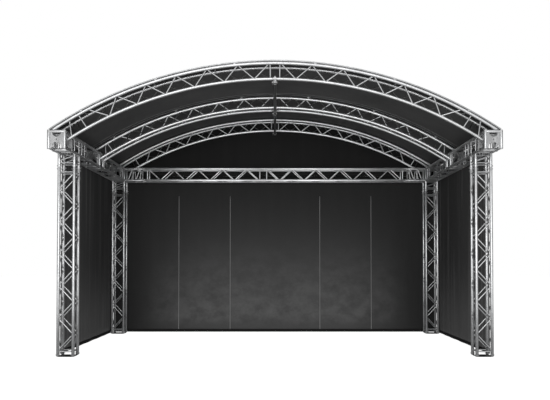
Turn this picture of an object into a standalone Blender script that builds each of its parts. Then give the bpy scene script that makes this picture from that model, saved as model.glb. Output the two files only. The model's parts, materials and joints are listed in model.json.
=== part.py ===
"""Arched truss stage roof: four box-truss towers, two eave trusses, a rear truss, three arches of
triangular truss, canvas roof, gable and walls, and a ridge pipe held by right-angle couplers.

Metres, +Z up, +X to the right of someone who faces the stage, +Y to the back of the stage.
The origin is on the floor, below the middle of the whole object.
Run with: blender --background --python part.py
"""

import math

import bmesh
import bpy
from mathutils import Matrix, Vector

# Gap kept between pieces that seat on each other.
SEAT = 0.0003
SHARP_ANGLE = math.radians(62)
FLAT_ANGLE = math.radians(0.2)
MERGE = 0.00001

# Tubes of the box truss. The pitch is between the centres of two main tubes.
CHORD_D = 0.050
CHORD_PITCH = 0.240
CHORD_SIDES = 8
NOTCH_SIDES = 12
BRACE_D = 0.020
CUBE_BAR_D = 0.036        # square level bars of a box corner, which die into its posts
BRANCH_STEP = 0.0004      # a tube that branches off is this much thinner, so no two flats coincide
BRACE_SIDES = 3           # the corners of a brace lie on its round tube
BRACE_INSET = 0.016       # a brace stops this short of the main tube's centre, inside its wall
BAR_GAP = 0.014           # from a cross-bar to where the nearest diagonal meets the main tube
END_BAR = 0.073           # from a segment's end to its cross-bar
ARM_NEAR_GAP = 0.020      # from a short arm's box to the start of its diagonals
ARM_FAR_GAP = 0.032       # from the end of those diagonals to the cross-bar
ZIGZAG_STEP = 0.253       # length of truss that one diagonal covers

# Lengths of the bought truss pieces.
TOWER_LENGTH = 3.000
TOWER_FOOT_BAR = 0.078    # from the floor plate to the lowest cross-bar
LEG_LENGTH = 0.210        # short leg under a tee or corner
TEE_LENGTH = 0.710
EAVE_FRONT_LENGTH = 1.000
EAVE_REAR_LENGTH = 1.500
REAR_LEFT_LENGTH = 2.525
REAR_RIGHT_LENGTH = 3.025
CORNER_ARM_X = 0.395      # arm of the rear corner along the rear truss
ARM_MIDDLE_BAR = 0.162    # bars in the middle of that arm, from the corner's box
ARM_STEEP_GAP = 0.060     # from the start of each bay to the foot of its steep diagonal
CORNER_ARM_Y = 0.210      # arm of the rear corner along the eave

# Floor plates. The towers' tubes stand a little past their edges.
PLATE_T = 0.006
PLATE_INSET = 0.012
PLATE_CORNER_R = 0.025
PLATE_CORNER_STEPS = 2

# Face plates of the box corners.
FACE_PLATE_T = 0.008
FACE_PLATE_SET_BACK = 0.012
FACE_PLATE_FOOT = 0.142   # from the plate's middle down to its lower edge
UPPER_NOTCH_R = 0.067
UPPER_NOTCH_Z = 0.108     # notch centres, from the middle of the plate
LOWER_NOTCH_R = 0.075
LOWER_NOTCH_Z = -0.118
FACE_PLATE_HOLE_D = 0.020

# Arches. The rise is counted from the top tube of the eave truss to the crown of the upper tube.
ARCH_RISE = 1.045
ARCH_FOOT_INSET = 0.025   # from the outer eave tube's centre to the end of the arch's upper tube
ARCH_SIDES = 6
ARCH_STEPS = 6
ARCH_DIAGONALS = 12
ARCH_CROSS_BARS = (3, 7)  # diagonals that have a cross-bar at their middle, between the two like tubes
ARCH_FIRST_NODE = 0.090   # from the crown to the first brace node, along the arch
ARCH_LAST_NODE = 2.910
ARCH_NODE_GAP = 0.010     # half the distance between two brace ends on an arch tube
ARCH_RADIAL_BAR = 3.075   # last bar square to the arch, in the front face
ARCH_RADIAL_SHIFT = 0.100 # that bar lies this much lower in the rear face
ARCH_END_BAR = 0.045      # from the eave box to the upright end bar
ARCH_OVERRUN = 0.010      # angle by which a bent tube is drawn too long before it is cut

# Keder rails on the upper tubes, and the canvas that slides into them.
RAIL_W = 0.016
RAIL_H = 0.014
RAIL_LIFT = 0.009         # between the arch tube and the rail
RAIL_CLIP_STEPS = (1, 3, 5)   # clips stand over these corners of the bent arch tube
RAIL_CLIP_L = 0.040
RAIL_CLIP_W = 0.012
CANVAS_T = 0.004
CANOPY_SEGMENTS = 16
CANOPY_ROWS = 2
CANOPY_SAG = 0.012

# Canvas walls hang just clear of the floor.
WALL_GAP = 0.015
WALL_FOLD = 0.012
FOLD_FADE = 0.75          # share of a fold's depth that is gone at the top edge
REAR_FOLDS = 9
SIDE_FOLDS = 6
FOLD_COLUMNS = 4
GABLE_SPLIT = 0.145       # the gable's lower edge and the wall's top edge, below the eave's top

# Ridge pipe and its right-angle couplers. Flats of clamp and tube face each other.
PIPE_D = 0.0483
PIPE_END = 0.070          # past the middle of the front and the rear arch
CLAMP_SIDES = 6
CLAMP_W = 0.035
CLAMP_WALL = 0.006
CLAMP_WEB = 0.004         # between the two saddles
HINGE_D = 0.010
LUG_W = 0.032
LUG_H = 0.008
NUT_GAP = 0.001           # from the ring to the nut
LUG_PAST_BOLT = 0.003     # the cap's lug ends this far outside the bolt's centre
EAR_WALL = 0.003          # round the cross-head of the swing bolt, in the coupler's body
LEAF_T = 0.006            # hinge leaf of a cap
BOLT_D = 0.010
BOLT_SLOT = 0.013
HEAD_D = 0.010
HEAD_L = 0.028
NUT_AF = 0.018
NUT_H = 0.010

# Worked out from the sizes above.
BOX = CHORD_PITCH + CHORD_D
HALF_PITCH = CHORD_PITCH / 2
ARCH_SIDE = CHORD_PITCH   # side of the arches' triangular section
WIDTH = REAR_LEFT_LENGTH + REAR_RIGHT_LENGTH + 2 * (BOX + CORNER_ARM_X)
TOWER_X = WIDTH / 2 - BOX / 2
JOINT_Z = PLATE_T + TOWER_LENGTH
BOX_BOTTOM = JOINT_Z + LEG_LENGTH
BOX_MIDDLE = BOX_BOTTOM + BOX / 2
BOX_TOP = BOX_BOTTOM + BOX
BAY_FRONT = TEE_LENGTH + EAVE_FRONT_LENGTH + BOX
BAY_REAR = EAVE_REAR_LENGTH + CORNER_ARM_Y + BOX
SKIN = SEAT + CANVAS_T + WALL_FOLD
DEPTH = BAY_FRONT + BAY_REAR + BOX + SKIN
FRONT_Y = -DEPTH / 2 + BOX / 2
MID_Y = FRONT_Y + BAY_FRONT
REAR_Y = MID_Y + BAY_REAR
TOWER_FRONT_Y = FRONT_Y + BOX / 2 + TEE_LENGTH / 2

UPPER_Z = BOX_MIDDLE + HALF_PITCH
ARCH_HALF = TOWER_X + HALF_PITCH - ARCH_FOOT_INSET
ARCH_R = (ARCH_HALF ** 2 + ARCH_RISE ** 2) / (2 * ARCH_RISE)
ARCH_CENTRE_Z = UPPER_Z + ARCH_RISE - ARCH_R
ARCH_LOW_R = ARCH_R - ARCH_SIDE * math.sqrt(3) / 2
ARCH_MEAN_R = (ARCH_R + ARCH_LOW_R) / 2
ARCH_TUBE_REACH = CHORD_D / 2 / math.cos(math.pi / ARCH_SIDES)
ARCH_END_ANGLE = math.asin(ARCH_HALF / ARCH_R) + ARCH_OVERRUN
ARCH_FACE_X = TOWER_X - BOX / 2
REAR_FOOT_X = math.sqrt(ARCH_LOW_R ** 2 - (BOX_TOP - ARCH_CENTRE_Z) ** 2)

RAIL_R = ARCH_R + CHORD_D / 2 + RAIL_LIFT + RAIL_H / 2
RAIL_END_ANGLE = math.acos((BOX_TOP + SEAT - ARCH_CENTRE_Z) / (RAIL_R - RAIL_H / 2))
# The bent tube falls away from the crown inside the clamp.
ARCH_KINK = CLAMP_W / 2 * math.tan(ARCH_END_ANGLE / ARCH_STEPS / 2)
CLAMP_CHORD_D = CHORD_D + 2 * (SEAT + ARCH_KINK)
CLAMP_PIPE_D = PIPE_D + 2 * SEAT
CROWN_LOW_Z = ARCH_CENTRE_Z + ARCH_LOW_R
CLAMP_CORNER = 1 / math.cos(math.pi / CLAMP_SIDES)
PIPE_DROP = -((CLAMP_CHORD_D + CLAMP_PIPE_D) / 2 * CLAMP_CORNER + CLAMP_WEB)
PIPE_Z = CROWN_LOW_Z + PIPE_DROP
HEAD_REACH = HEAD_D / 2 * CLAMP_CORNER
HEAD_DROP = HEAD_REACH + SEAT + EAR_WALL
# The nut's seat clears the far edge of the cap's lug as the bolt swings out.
NUT_SEAT = math.hypot(LUG_PAST_BOLT, LUG_H + HEAD_DROP) + SEAT
HALF_TURN = Matrix.Rotation(math.pi, 4, "Y")
TURN_TO_PIPE = Matrix.Rotation(-math.pi / 2, 4, "Z")

LEFT = -1
RIGHT = 1
UP = Vector((0, 0, 1))


def clear_scene():
    for old in list(bpy.data.objects):
        bpy.data.objects.remove(old, do_unlink=True)


def make_collection(name):
    collection = bpy.data.collections.new(name)
    bpy.context.scene.collection.children.link(collection)
    return collection


def make_material(name, colour, roughness, metallic):
    material = bpy.data.materials.new(name)
    material.use_nodes = True
    shader = material.node_tree.nodes["Principled BSDF"]
    shader.inputs["Base Color"].default_value = (*colour, 1.0)
    shader.inputs["Roughness"].default_value = roughness
    shader.inputs["Metallic"].default_value = metallic
    material.diffuse_color = (*colour, 1.0)
    return material


clear_scene()
PARTS = make_collection("arched_stage_roof")
GUIDES = make_collection("guides")
ALUMINIUM = make_material("aluminium_tube", (0.74, 0.75, 0.76), 0.36, 1.0)
BLACK_STEEL = make_material("black_steel", (0.03, 0.03, 0.032), 0.55, 0.6)
ZINC = make_material("zinc_steel", (0.66, 0.67, 0.68), 0.42, 1.0)
ROOF_CANVAS = make_material("roof_canvas", (0.032, 0.032, 0.034), 0.62, 0.0)
WALL_CANVAS = make_material("wall_canvas", (0.016, 0.016, 0.017), 0.7, 0.0)

ROOT = bpy.data.objects.new("stage_roof", None)
PARTS.objects.link(ROOT)


def mesh_from(bm, name="shape"):
    """Close a bmesh into a mesh whose faces point outwards."""
    bmesh.ops.recalc_face_normals(bm, faces=bm.faces)
    mesh = bpy.data.meshes.new(name)
    bm.to_mesh(mesh)
    bm.free()
    return mesh


def fill_holes(bm):
    edges = [e for e in bm.edges if e.is_boundary]
    bmesh.ops.holes_fill(bm, edges=edges, sides=0)


def trim(bm, point, normal):
    """Cut away what lies on the normal's side of a plane, and close the cut."""
    geometry = bm.verts[:] + bm.edges[:] + bm.faces[:]
    bmesh.ops.bisect_plane(bm, geom=geometry, dist=1e-6, plane_co=point, plane_no=normal, clear_outer=True)
    fill_holes(bm)


def solved(base, tools, operation):
    """Apply one Boolean for each tool mesh to the base mesh."""
    holder = bpy.data.objects.new("base", base)
    GUIDES.objects.link(holder)
    cutters = []
    for tool in tools:
        cutter = bpy.data.objects.new("tool", tool)
        GUIDES.objects.link(cutter)
        cutters.append(cutter)
        step = holder.modifiers.new(operation.lower(), "BOOLEAN")
        step.operation = operation
        step.solver = "EXACT"
        step.object = cutter
    graph = bpy.context.evaluated_depsgraph_get()
    result = bpy.data.meshes.new_from_object(holder.evaluated_get(graph))
    for helper in [holder, *cutters]:
        bpy.data.objects.remove(helper, do_unlink=True)
    return without_flat_edges(result)


def without_flat_edges(mesh):
    """Take out the points and edges that a Boolean leaves on straight edges and in flat faces."""
    bm = bmesh.new()
    bm.from_mesh(mesh)
    bmesh.ops.triangulate(bm, faces=bm.faces)
    targets = {}
    for vert in bm.verts:
        creases = [edge for edge in vert.link_edges if edge.calc_face_angle(math.pi) > FLAT_ANGLE]
        if len(creases) != 2:
            continue
        first, second = (edge.other_vert(vert) for edge in creases)
        if (first.co - vert.co).angle(vert.co - second.co) > FLAT_ANGLE:
            continue
        nearest = min((first, second), key=lambda other: (other.co - vert.co).length)
        if nearest not in targets and vert not in targets.values():
            targets[vert] = nearest
    bmesh.ops.weld_verts(bm, targetmap=targets)
    bmesh.ops.dissolve_degenerate(bm, dist=MERGE, edges=bm.edges)
    bmesh.ops.dissolve_limit(bm, angle_limit=FLAT_ANGLE, verts=bm.verts, edges=bm.edges)
    bm.to_mesh(mesh)
    bm.free()
    return mesh


def united(base, *tools):
    return solved(base, tools, "UNION")


def cut_from(base, *tools):
    return solved(base, tools, "DIFFERENCE")


def place(name, mesh, material, location=(0, 0, 0), turn=(0, 0, 0)):
    """Stand a named piece in the model, with its round sides shaded smooth."""
    mesh.shade_smooth()
    mesh.set_sharp_from_angle(angle=SHARP_ANGLE)
    piece = bpy.data.objects.new(name, mesh)
    piece.location = location
    piece.rotation_euler = turn
    piece.parent = ROOT
    if not mesh.materials:
        mesh.materials.append(material)
    PARTS.objects.link(piece)
    return piece


def prism_matrix(start, end, flat_towards):
    """Frame of a rod: its Z runs from start to end, and its Y points at flat_towards."""
    along = (end - start).normalized()
    side = flat_towards - along * flat_towards.dot(along)
    if side.length < 1e-6:
        side = along.orthogonal()
    side.normalize()
    across = side.cross(along)
    turn = Matrix((across, side, along)).transposed().to_4x4()
    return Matrix.Translation((start + end) / 2) @ turn


def rod(bm, start, end, diameter, sides, flat_towards=UP):
    """Main tube, pin or pipe: a prism that measures its diameter across the flats."""
    start = Vector(start)
    end = Vector(end)
    matrix = prism_matrix(start, end, Vector(flat_towards)) @ Matrix.Rotation(math.pi / sides, 4, "Z")
    radius = diameter / 2 / math.cos(math.pi / sides)
    bmesh.ops.create_cone(bm, cap_ends=True, segments=sides, radius1=radius, radius2=radius,
                          depth=(end - start).length, matrix=matrix)


def brace(bm, start, end, normal):
    """Diagonal or cross-bar between two tube centres, with a flat towards the normal."""
    start = Vector(start)
    end = Vector(end)
    along = (end - start).normalized()
    first = start + along * BRACE_INSET
    last = end - along * BRACE_INSET
    matrix = prism_matrix(first, last, Vector(normal)) @ Matrix.Rotation(math.pi / BRACE_SIDES, 4, "Z")
    bmesh.ops.create_cone(bm, cap_ends=True, segments=BRACE_SIDES, radius1=BRACE_D / 2,
                          radius2=BRACE_D / 2, depth=(last - first).length, matrix=matrix)


def box(bm, low, high):
    low = Vector(low)
    high = Vector(high)
    size = Matrix.Diagonal((*(high - low), 1.0))
    bmesh.ops.create_cube(bm, size=1.0, matrix=Matrix.Translation((low + high) / 2) @ size)


# The four tube corners of a box truss that runs along local Z, in order round the section.
SECTION = [(-1, -1), (1, -1), (1, 1), (-1, 1)]
# Faces that lie level once the truss is laid along the eave or the rear. Their diagonals are left out.
LEVEL_FACES = (0, 2)


def corner_points(pitch=HALF_PITCH):
    return [Vector((x * pitch, y * pitch, 0)) for x, y in SECTION]


def zigzag(bm, tube_a, tube_b, stations, normal):
    """Diagonals that run from tube a to tube b and back, one between each pair of stations."""
    for index in range(len(stations) - 1):
        first, second = (tube_a, tube_b) if index % 2 == 0 else (tube_b, tube_a)
        brace(bm, first + UP * stations[index], second + UP * stations[index + 1], normal)


def box_truss(length, foot_bar=END_BAR, open_faces=()):
    """Box truss along local Z, from 0 to its length. An open face has no diagonals."""
    corners = corner_points()
    tubes = bmesh.new()
    for corner in corners:
        rod(tubes, corner, corner + UP * length, CHORD_D, CHORD_SIDES, (0, 1, 0))
    lattice = bmesh.new()
    bars = [foot_bar, length - END_BAR]
    first = bars[0] + BAR_GAP
    last = bars[1] - BAR_GAP
    count = max(1, round((last - first) / ZIGZAG_STEP))
    stations = [first + (last - first) * step / count for step in range(count + 1)]
    for face in range(4):
        a = corners[face]
        b = corners[(face + 1) % 4]
        if face >= 2:
            a, b = b, a
        for level in bars:
            brace(lattice, a + UP * level, b + UP * level, a + b)
        if face not in open_faces:
            zigzag(lattice, a, b, stations, a + b)
    return united(mesh_from(tubes), mesh_from(lattice))


def face_plate():
    """Light plate with a round notch in its upper and lower edge and a hole in the middle.
    It stands in local XZ, between the centres of the posts, and reaches down to their ends."""
    half = HALF_PITCH
    blank = bmesh.new()
    box(blank, (-half, -FACE_PLATE_T / 2, -FACE_PLATE_FOOT), (half, FACE_PLATE_T / 2, half))
    cuts = bmesh.new()
    for level, radius in ((UPPER_NOTCH_Z, UPPER_NOTCH_R), (LOWER_NOTCH_Z, LOWER_NOTCH_R)):
        rod(cuts, (0, -FACE_PLATE_T, level), (0, FACE_PLATE_T, level), 2 * radius, NOTCH_SIDES)
    rod(cuts, (0, -FACE_PLATE_T, 0), (0, FACE_PLATE_T, 0), FACE_PLATE_HOLE_D, ARCH_SIDES)
    return cut_from(mesh_from(blank), mesh_from(cuts))


def moved(mesh, matrix):
    copy = mesh.copy()
    copy.transform(matrix)
    return copy


def square_frame(bm, centre, axis_a, axis_b, reach_a, reach_b, diameter, sides=CHORD_SIDES, corners=SECTION):
    """Tubes along axis_a at the corners of a square section that stands across it."""
    for first, second in corners:
        base = centre + axis_b * (first * HALF_PITCH) + axis_a.cross(axis_b) * (second * HALF_PITCH)
        rod(bm, base + axis_a * reach_a, base + axis_a * reach_b, diameter, sides, axis_b)


X_AXIS = Vector((1, 0, 0))
Y_AXIS = Vector((0, 1, 0))


def corner_cube(across_corners=SECTION):
    """Four upright tubes with a ring of square bars round their upper and lower ends.
    Of the bars along X, those at the named corners of the section are there."""
    middle = Vector((0, 0, 0))
    posts = bmesh.new()
    square_frame(posts, middle, UP, X_AXIS, -BOX / 2, BOX / 2, CHORD_D)
    across = bmesh.new()
    square_frame(across, middle, X_AXIS, Y_AXIS, -HALF_PITCH, HALF_PITCH, CUBE_BAR_D, 4, across_corners)
    along = bmesh.new()
    square_frame(along, middle, Y_AXIS, X_AXIS, -HALF_PITCH, HALF_PITCH, CUBE_BAR_D, sides=4)
    return mesh_from(posts), mesh_from(across), mesh_from(along)


def front_corner(side):
    """Box corner with plates in its front face and in the face towards the middle of the stage.
    Its lower front bar is left out, as the plate takes its place."""
    plate = face_plate()
    offset = BOX / 2 - FACE_PLATE_SET_BACK - FACE_PLATE_T / 2
    front = moved(plate, Matrix.Translation((0, -offset, 0)))
    inner = moved(plate, Matrix.Translation((-side * offset, 0, 0)) @ Matrix.Rotation(math.pi / 2, 4, "Z"))
    return united(*corner_cube(SECTION[1:]), front, inner)


def mid_box():
    """Box corner with a plate in its top face, under the foot of the middle arch."""
    top = bmesh.new()
    box(top, (-HALF_PITCH, -HALF_PITCH, BOX / 2 - FACE_PLATE_T), (HALF_PITCH, HALF_PITCH, BOX / 2))
    bars = bmesh.new()
    for side in (LEFT, RIGHT):
        low = Vector((side * HALF_PITCH, -HALF_PITCH, -HALF_PITCH))
        high = Vector((side * HALF_PITCH, HALF_PITCH, HALF_PITCH))
        brace(bars, low, high, X_AXIS)
    return united(*corner_cube(), mesh_from(top), mesh_from(bars))


def arm_lattice(bm, along, axis_b, bays, slanted_faces=(0, 1, 2, 3)):
    """Lattice of a short arm. A bay is the start and the end of its diagonals and the place of its
    cross-bars, from the box; the diagonals lie in the named faces, alike in faces across from each other."""
    axis_c = along.cross(axis_b)
    corners = [axis_b * (b * HALF_PITCH) + axis_c * (c * HALF_PITCH) for b, c in SECTION]
    for face in range(4):
        a = corners[face] + along * (BOX / 2)
        b = corners[(face + 1) % 4] + along * (BOX / 2)
        if face < 2:
            a, b = b, a
        for start, end, bar in bays:
            brace(bm, a + along * bar, b + along * bar, corners[face] + corners[(face + 1) % 4])
            if face in slanted_faces:
                brace(bm, a + along * start, b + along * end, corners[face] + corners[(face + 1) % 4])


def one_bay(length):
    """The single bay of a short arm of this length."""
    bar = length - END_BAR
    return [(ARM_NEAR_GAP, bar - ARM_FAR_GAP, bar)]


def box_bars(bm, axis, other):
    """Bars across the box of a tee or corner, between the tubes that run along the axis."""
    third = axis.cross(other)
    for end in (-HALF_PITCH, HALF_PITCH):
        for side in (-HALF_PITCH, HALF_PITCH):
            middle = axis * end + other * side
            brace(bm, middle - third * HALF_PITCH, middle + third * HALF_PITCH, other * side)


def tee():
    """Tee: a length of eave truss with a short leg down to the tower."""
    middle = Vector((0, 0, 0))
    run = bmesh.new()
    square_frame(run, middle, Y_AXIS, X_AXIS, -TEE_LENGTH / 2, TEE_LENGTH / 2, CHORD_D)
    leg = bmesh.new()
    square_frame(leg, middle, -UP, X_AXIS, HALF_PITCH, BOX / 2 + LEG_LENGTH, CHORD_D - BRANCH_STEP)
    lattice = bmesh.new()
    box_bars(lattice, Y_AXIS, X_AXIS)
    box_bars(lattice, Y_AXIS, UP)
    arm_lattice(lattice, -UP, X_AXIS, one_bay(LEG_LENGTH))
    for way in (Y_AXIS, -Y_AXIS):
        arm_lattice(lattice, way, X_AXIS, one_bay(TEE_LENGTH / 2 - BOX / 2), slanted_faces=(1, 3))
    return united(mesh_from(run), mesh_from(leg), mesh_from(lattice))


def rear_corner(side):
    """Corner where tower, eave and rear truss meet. The long arm points to the middle of the stage.
    A tube across the top of that arm carries the lower tube of the rear arch."""
    middle = Vector((0, 0, 0))
    inwards = X_AXIS * -side
    posts = bmesh.new()
    square_frame(posts, middle, UP, X_AXIS, -BOX / 2 - LEG_LENGTH, BOX / 2, CHORD_D)
    run = bmesh.new()
    square_frame(run, middle, inwards, Y_AXIS, -HALF_PITCH, BOX / 2 + CORNER_ARM_X, CHORD_D - BRANCH_STEP)
    eave = bmesh.new()
    square_frame(eave, middle, -Y_AXIS, X_AXIS, -HALF_PITCH, BOX / 2 + CORNER_ARM_Y,
                 CHORD_D - 2 * BRANCH_STEP)
    lattice = bmesh.new()
    arm_lattice(lattice, -UP, X_AXIS, one_bay(LEG_LENGTH))
    end_bar = CORNER_ARM_X - END_BAR
    bays = [(ARM_STEEP_GAP, ARM_MIDDLE_BAR - BAR_GAP, ARM_MIDDLE_BAR),
            (ARM_MIDDLE_BAR + ARM_STEEP_GAP, end_bar - BAR_GAP, end_bar)]
    arm_lattice(lattice, inwards, Y_AXIS * side, bays, slanted_faces=(1, 3))
    arm_lattice(lattice, -Y_AXIS, X_AXIS, one_bay(CORNER_ARM_Y), slanted_faces=(1, 3))
    saddle = bmesh.new()
    foot = inwards * (TOWER_X - REAR_FOOT_X) + UP * HALF_PITCH
    rod(saddle, foot - Y_AXIS * HALF_PITCH, foot + Y_AXIS * HALF_PITCH, CHORD_D, CHORD_SIDES)
    return united(mesh_from(posts), mesh_from(run), mesh_from(eave), mesh_from(lattice), mesh_from(saddle))


def arc_point(radius, angle, y):
    return Vector((radius * math.sin(angle), y, ARCH_CENTRE_Z + radius * math.cos(angle)))


def angle_at(radius, x):
    return math.asin(x / radius)


def arc_tube(radius, y, diameter, sides, first, last, steps):
    """Bent tube: a round section spun about the arch's centre."""
    bm = bmesh.new()
    frame = Matrix.Translation(arc_point(radius, first, y)) @ Matrix.Rotation(first, 4, "Y")
    upright = frame @ Matrix.Rotation(math.pi / 2, 4, "Y") @ Matrix.Rotation(math.pi / 2, 4, "Z")
    if sides % 4 == 0:
        upright = upright @ Matrix.Rotation(math.pi / sides, 4, "Z")
    section = bmesh.ops.create_circle(bm, segments=sides, matrix=upright,
                                      radius=diameter / 2 / math.cos(math.pi / sides))
    edges = list({edge for vert in section["verts"] for edge in vert.link_edges})
    bmesh.ops.spin(bm, geom=edges, cent=(0, y, ARCH_CENTRE_Z), axis=(0, 1, 0), angle=last - first,
                   steps=steps)
    fill_holes(bm)
    return bm


def joined(meshes):
    """One mesh of shapes that stay clear of each other."""
    bm = bmesh.new()
    for mesh in meshes:
        bm.from_mesh(mesh)
    return mesh_from(bm)


def arch_half(side, apex_down, front_node_up, low_tube_end):
    """Half an arch of triangular truss, from the crown to the eave, modelled at Y = 0."""
    half = ARCH_SIDE / 2
    if apex_down:
        tubes = {"front": (ARCH_R, -half), "rear": (ARCH_R, half), "apex": (ARCH_LOW_R, 0.0)}
    else:
        tubes = {"front": (ARCH_LOW_R, -half), "rear": (ARCH_LOW_R, half), "apex": (ARCH_R, 0.0)}
    chords = []
    for radius, y in tubes.values():
        bm = arc_tube(radius, y, CHORD_D, ARCH_SIDES, SEAT / 2 / radius, ARCH_END_ANGLE, ARCH_STEPS)
        if radius == ARCH_R or low_tube_end is None:
            trim(bm, (0, 0, BOX_TOP + SEAT), (0, 0, -1))
        else:
            trim(bm, (low_tube_end, 0, 0), (1, 0, 0))
        chords.append(mesh_from(bm))
    span = ARCH_LAST_NODE - ARCH_FIRST_NODE
    nodes = [(ARCH_FIRST_NODE + span * step / ARCH_DIAGONALS) / ARCH_MEAN_R
             for step in range(ARCH_DIAGONALS + 1)]
    crown = END_BAR / ARCH_MEAN_R
    lattice = bmesh.new()
    for name, swap, radial in (("front", not front_node_up, ARCH_RADIAL_BAR),
                               ("rear", front_node_up, ARCH_RADIAL_BAR + ARCH_RADIAL_SHIFT)):
        a, b = tubes[name], tubes["apex"]
        if not apex_down:
            swap = not swap
        arch_zigzag(lattice, *((b, a) if swap else (a, b)), nodes)
        for angle in (crown, radial / ARCH_MEAN_R):
            arch_bar(lattice, a, b, angle, angle)
        if low_tube_end is not None:
            end = ARCH_FACE_X - ARCH_END_BAR
            arch_bar(lattice, a, b, angle_at(a[0], end), angle_at(b[0], end))
    middles = [(nodes[step] + nodes[step + 1]) / 2 for step in ARCH_CROSS_BARS]
    for angle in (crown, *middles, nodes[-1] + crown):
        arch_bar(lattice, tubes["front"], tubes["rear"], angle, angle)
    mesh = united(joined(chords), mesh_from(lattice))
    if side == LEFT:
        flip = bmesh.new()
        flip.from_mesh(mesh)
        bmesh.ops.scale(flip, vec=(-1, 1, 1), verts=flip.verts)
        mesh = mesh_from(flip)
    return mesh


def arch_bar(bm, a, b, angle_a, angle_b):
    start = arc_point(a[0], angle_a, a[1])
    end = arc_point(b[0], angle_b, b[1])
    brace(bm, start, end, (end - start).cross(X_AXIS))


def arch_zigzag(bm, a, b, angles):
    """Zigzag between two bent tubes; tube a holds the even nodes."""
    offset = ARCH_NODE_GAP / ARCH_R
    for index in range(len(angles) - 1):
        first, second = (a, b) if index % 2 == 0 else (b, a)
        start = arc_point(first[0], angles[index] + offset, first[1])
        end = arc_point(second[0], angles[index + 1] - offset, second[1])
        brace(bm, start, end, (end - start).cross(X_AXIS))


def build_structure():
    plate = bmesh.new()
    reach = BOX / 2 - PLATE_INSET
    box(plate, (-reach, -reach, 0), (reach, reach, PLATE_T))
    upright = [edge for edge in plate.edges if abs(edge.verts[0].co.z - edge.verts[1].co.z) > PLATE_T / 2]
    bmesh.ops.bevel(plate, geom=upright, offset=PLATE_CORNER_R, segments=PLATE_CORNER_STEPS, profile=0.5,
                    affect="EDGES", material=-1)
    plate_mesh = mesh_from(plate)
    tower_foot = PLATE_T + SEAT
    tower_mesh = box_truss(JOINT_Z - SEAT - tower_foot, TOWER_FOOT_BAR)
    tee_mesh = tee()
    mid_mesh = mid_box()
    eave_front_mesh = box_truss(EAVE_FRONT_LENGTH - 2 * SEAT, open_faces=LEVEL_FACES)
    eave_rear_mesh = box_truss(EAVE_REAR_LENGTH - 2 * SEAT, open_faces=LEVEL_FACES)
    for side, word in ((LEFT, "left"), (RIGHT, "right")):
        x = side * TOWER_X
        turn = 0.0 if side == LEFT else math.pi
        for y, depth in ((TOWER_FRONT_Y, "front"), (REAR_Y, "rear")):
            place(f"base_plate_{depth}_{word}", plate_mesh, BLACK_STEEL, (x, y, 0))
            place(f"tower_{depth}_{word}", tower_mesh, ALUMINIUM, (x, y, tower_foot), (0, 0, turn))
        place(f"box_corner_front_{word}", front_corner(side), ALUMINIUM, (x, FRONT_Y, BOX_MIDDLE))
        place(f"tee_front_{word}", tee_mesh, ALUMINIUM, (x, TOWER_FRONT_Y, BOX_MIDDLE), (0, 0, turn))
        place(f"box_mid_{word}", mid_mesh, ALUMINIUM, (x, MID_Y, BOX_MIDDLE))
        place(f"corner_rear_{word}", rear_corner(side), ALUMINIUM, (x, REAR_Y, BOX_MIDDLE))
        along_y = (-math.pi / 2, 0, 0)
        start = TOWER_FRONT_Y + TEE_LENGTH / 2 + SEAT
        place(f"eave_front_{word}", eave_front_mesh, ALUMINIUM, (x, start, BOX_MIDDLE), along_y)
        start = MID_Y + BOX / 2 + SEAT
        place(f"eave_rear_{word}", eave_rear_mesh, ALUMINIUM, (x, start, BOX_MIDDLE), along_y)


def build_rear_truss():
    start = -WIDTH / 2 + BOX + CORNER_ARM_X
    along_x = (-math.pi / 2, 0, -math.pi / 2)
    for word, length in (("left", REAR_LEFT_LENGTH), ("right", REAR_RIGHT_LENGTH)):
        mesh = box_truss(length - 2 * SEAT, open_faces=LEVEL_FACES)
        place(f"rear_truss_{word}", mesh, ALUMINIUM, (start + SEAT, REAR_Y, BOX_MIDDLE), along_x)
        start += length


def build_arches():
    on_plate = ARCH_FACE_X + FACE_PLATE_SET_BACK - SEAT
    on_post = ARCH_FACE_X - SEAT
    arches = (("front", FRONT_Y, True, True, on_plate), ("mid", MID_Y, False, False, on_post),
              ("rear", REAR_Y, True, False, None))
    for depth, y, apex_down, node_up, low_tube_end in arches:
        for side, word in ((LEFT, "left"), (RIGHT, "right")):
            mesh = arch_half(side, apex_down, node_up, low_tube_end)
            place(f"arch_{depth}_{word}", mesh, ALUMINIUM, (0, y, 0))


def rail_mesh():
    """Keder rail in one run over the arch, on clips that stand on the arch tube. Modelled at Y = 0."""
    rail = arc_tube(RAIL_R, 0.0, RAIL_H, 4, -RAIL_END_ANGLE, RAIL_END_ANGLE, CANOPY_SEGMENTS)
    bmesh.ops.scale(rail, vec=(1, RAIL_W / RAIL_H, 1), verts=rail.verts)
    clips = bmesh.new()
    low = ARCH_R + ARCH_TUBE_REACH + SEAT
    high = RAIL_R
    for step in (*(-step for step in RAIL_CLIP_STEPS), *RAIL_CLIP_STEPS):
        angle = ARCH_END_ANGLE * step / ARCH_STEPS
        turn = Matrix.Translation((0, 0, ARCH_CENTRE_Z)) @ Matrix.Rotation(angle, 4, "Y")
        size = Matrix.Diagonal((RAIL_CLIP_L, RAIL_CLIP_W, high - low, 1.0))
        bmesh.ops.create_cube(clips, size=1.0, matrix=turn @ Matrix.Translation((0, 0, (low + high) / 2)) @ size)
    return united(mesh_from(rail), mesh_from(clips))


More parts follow.
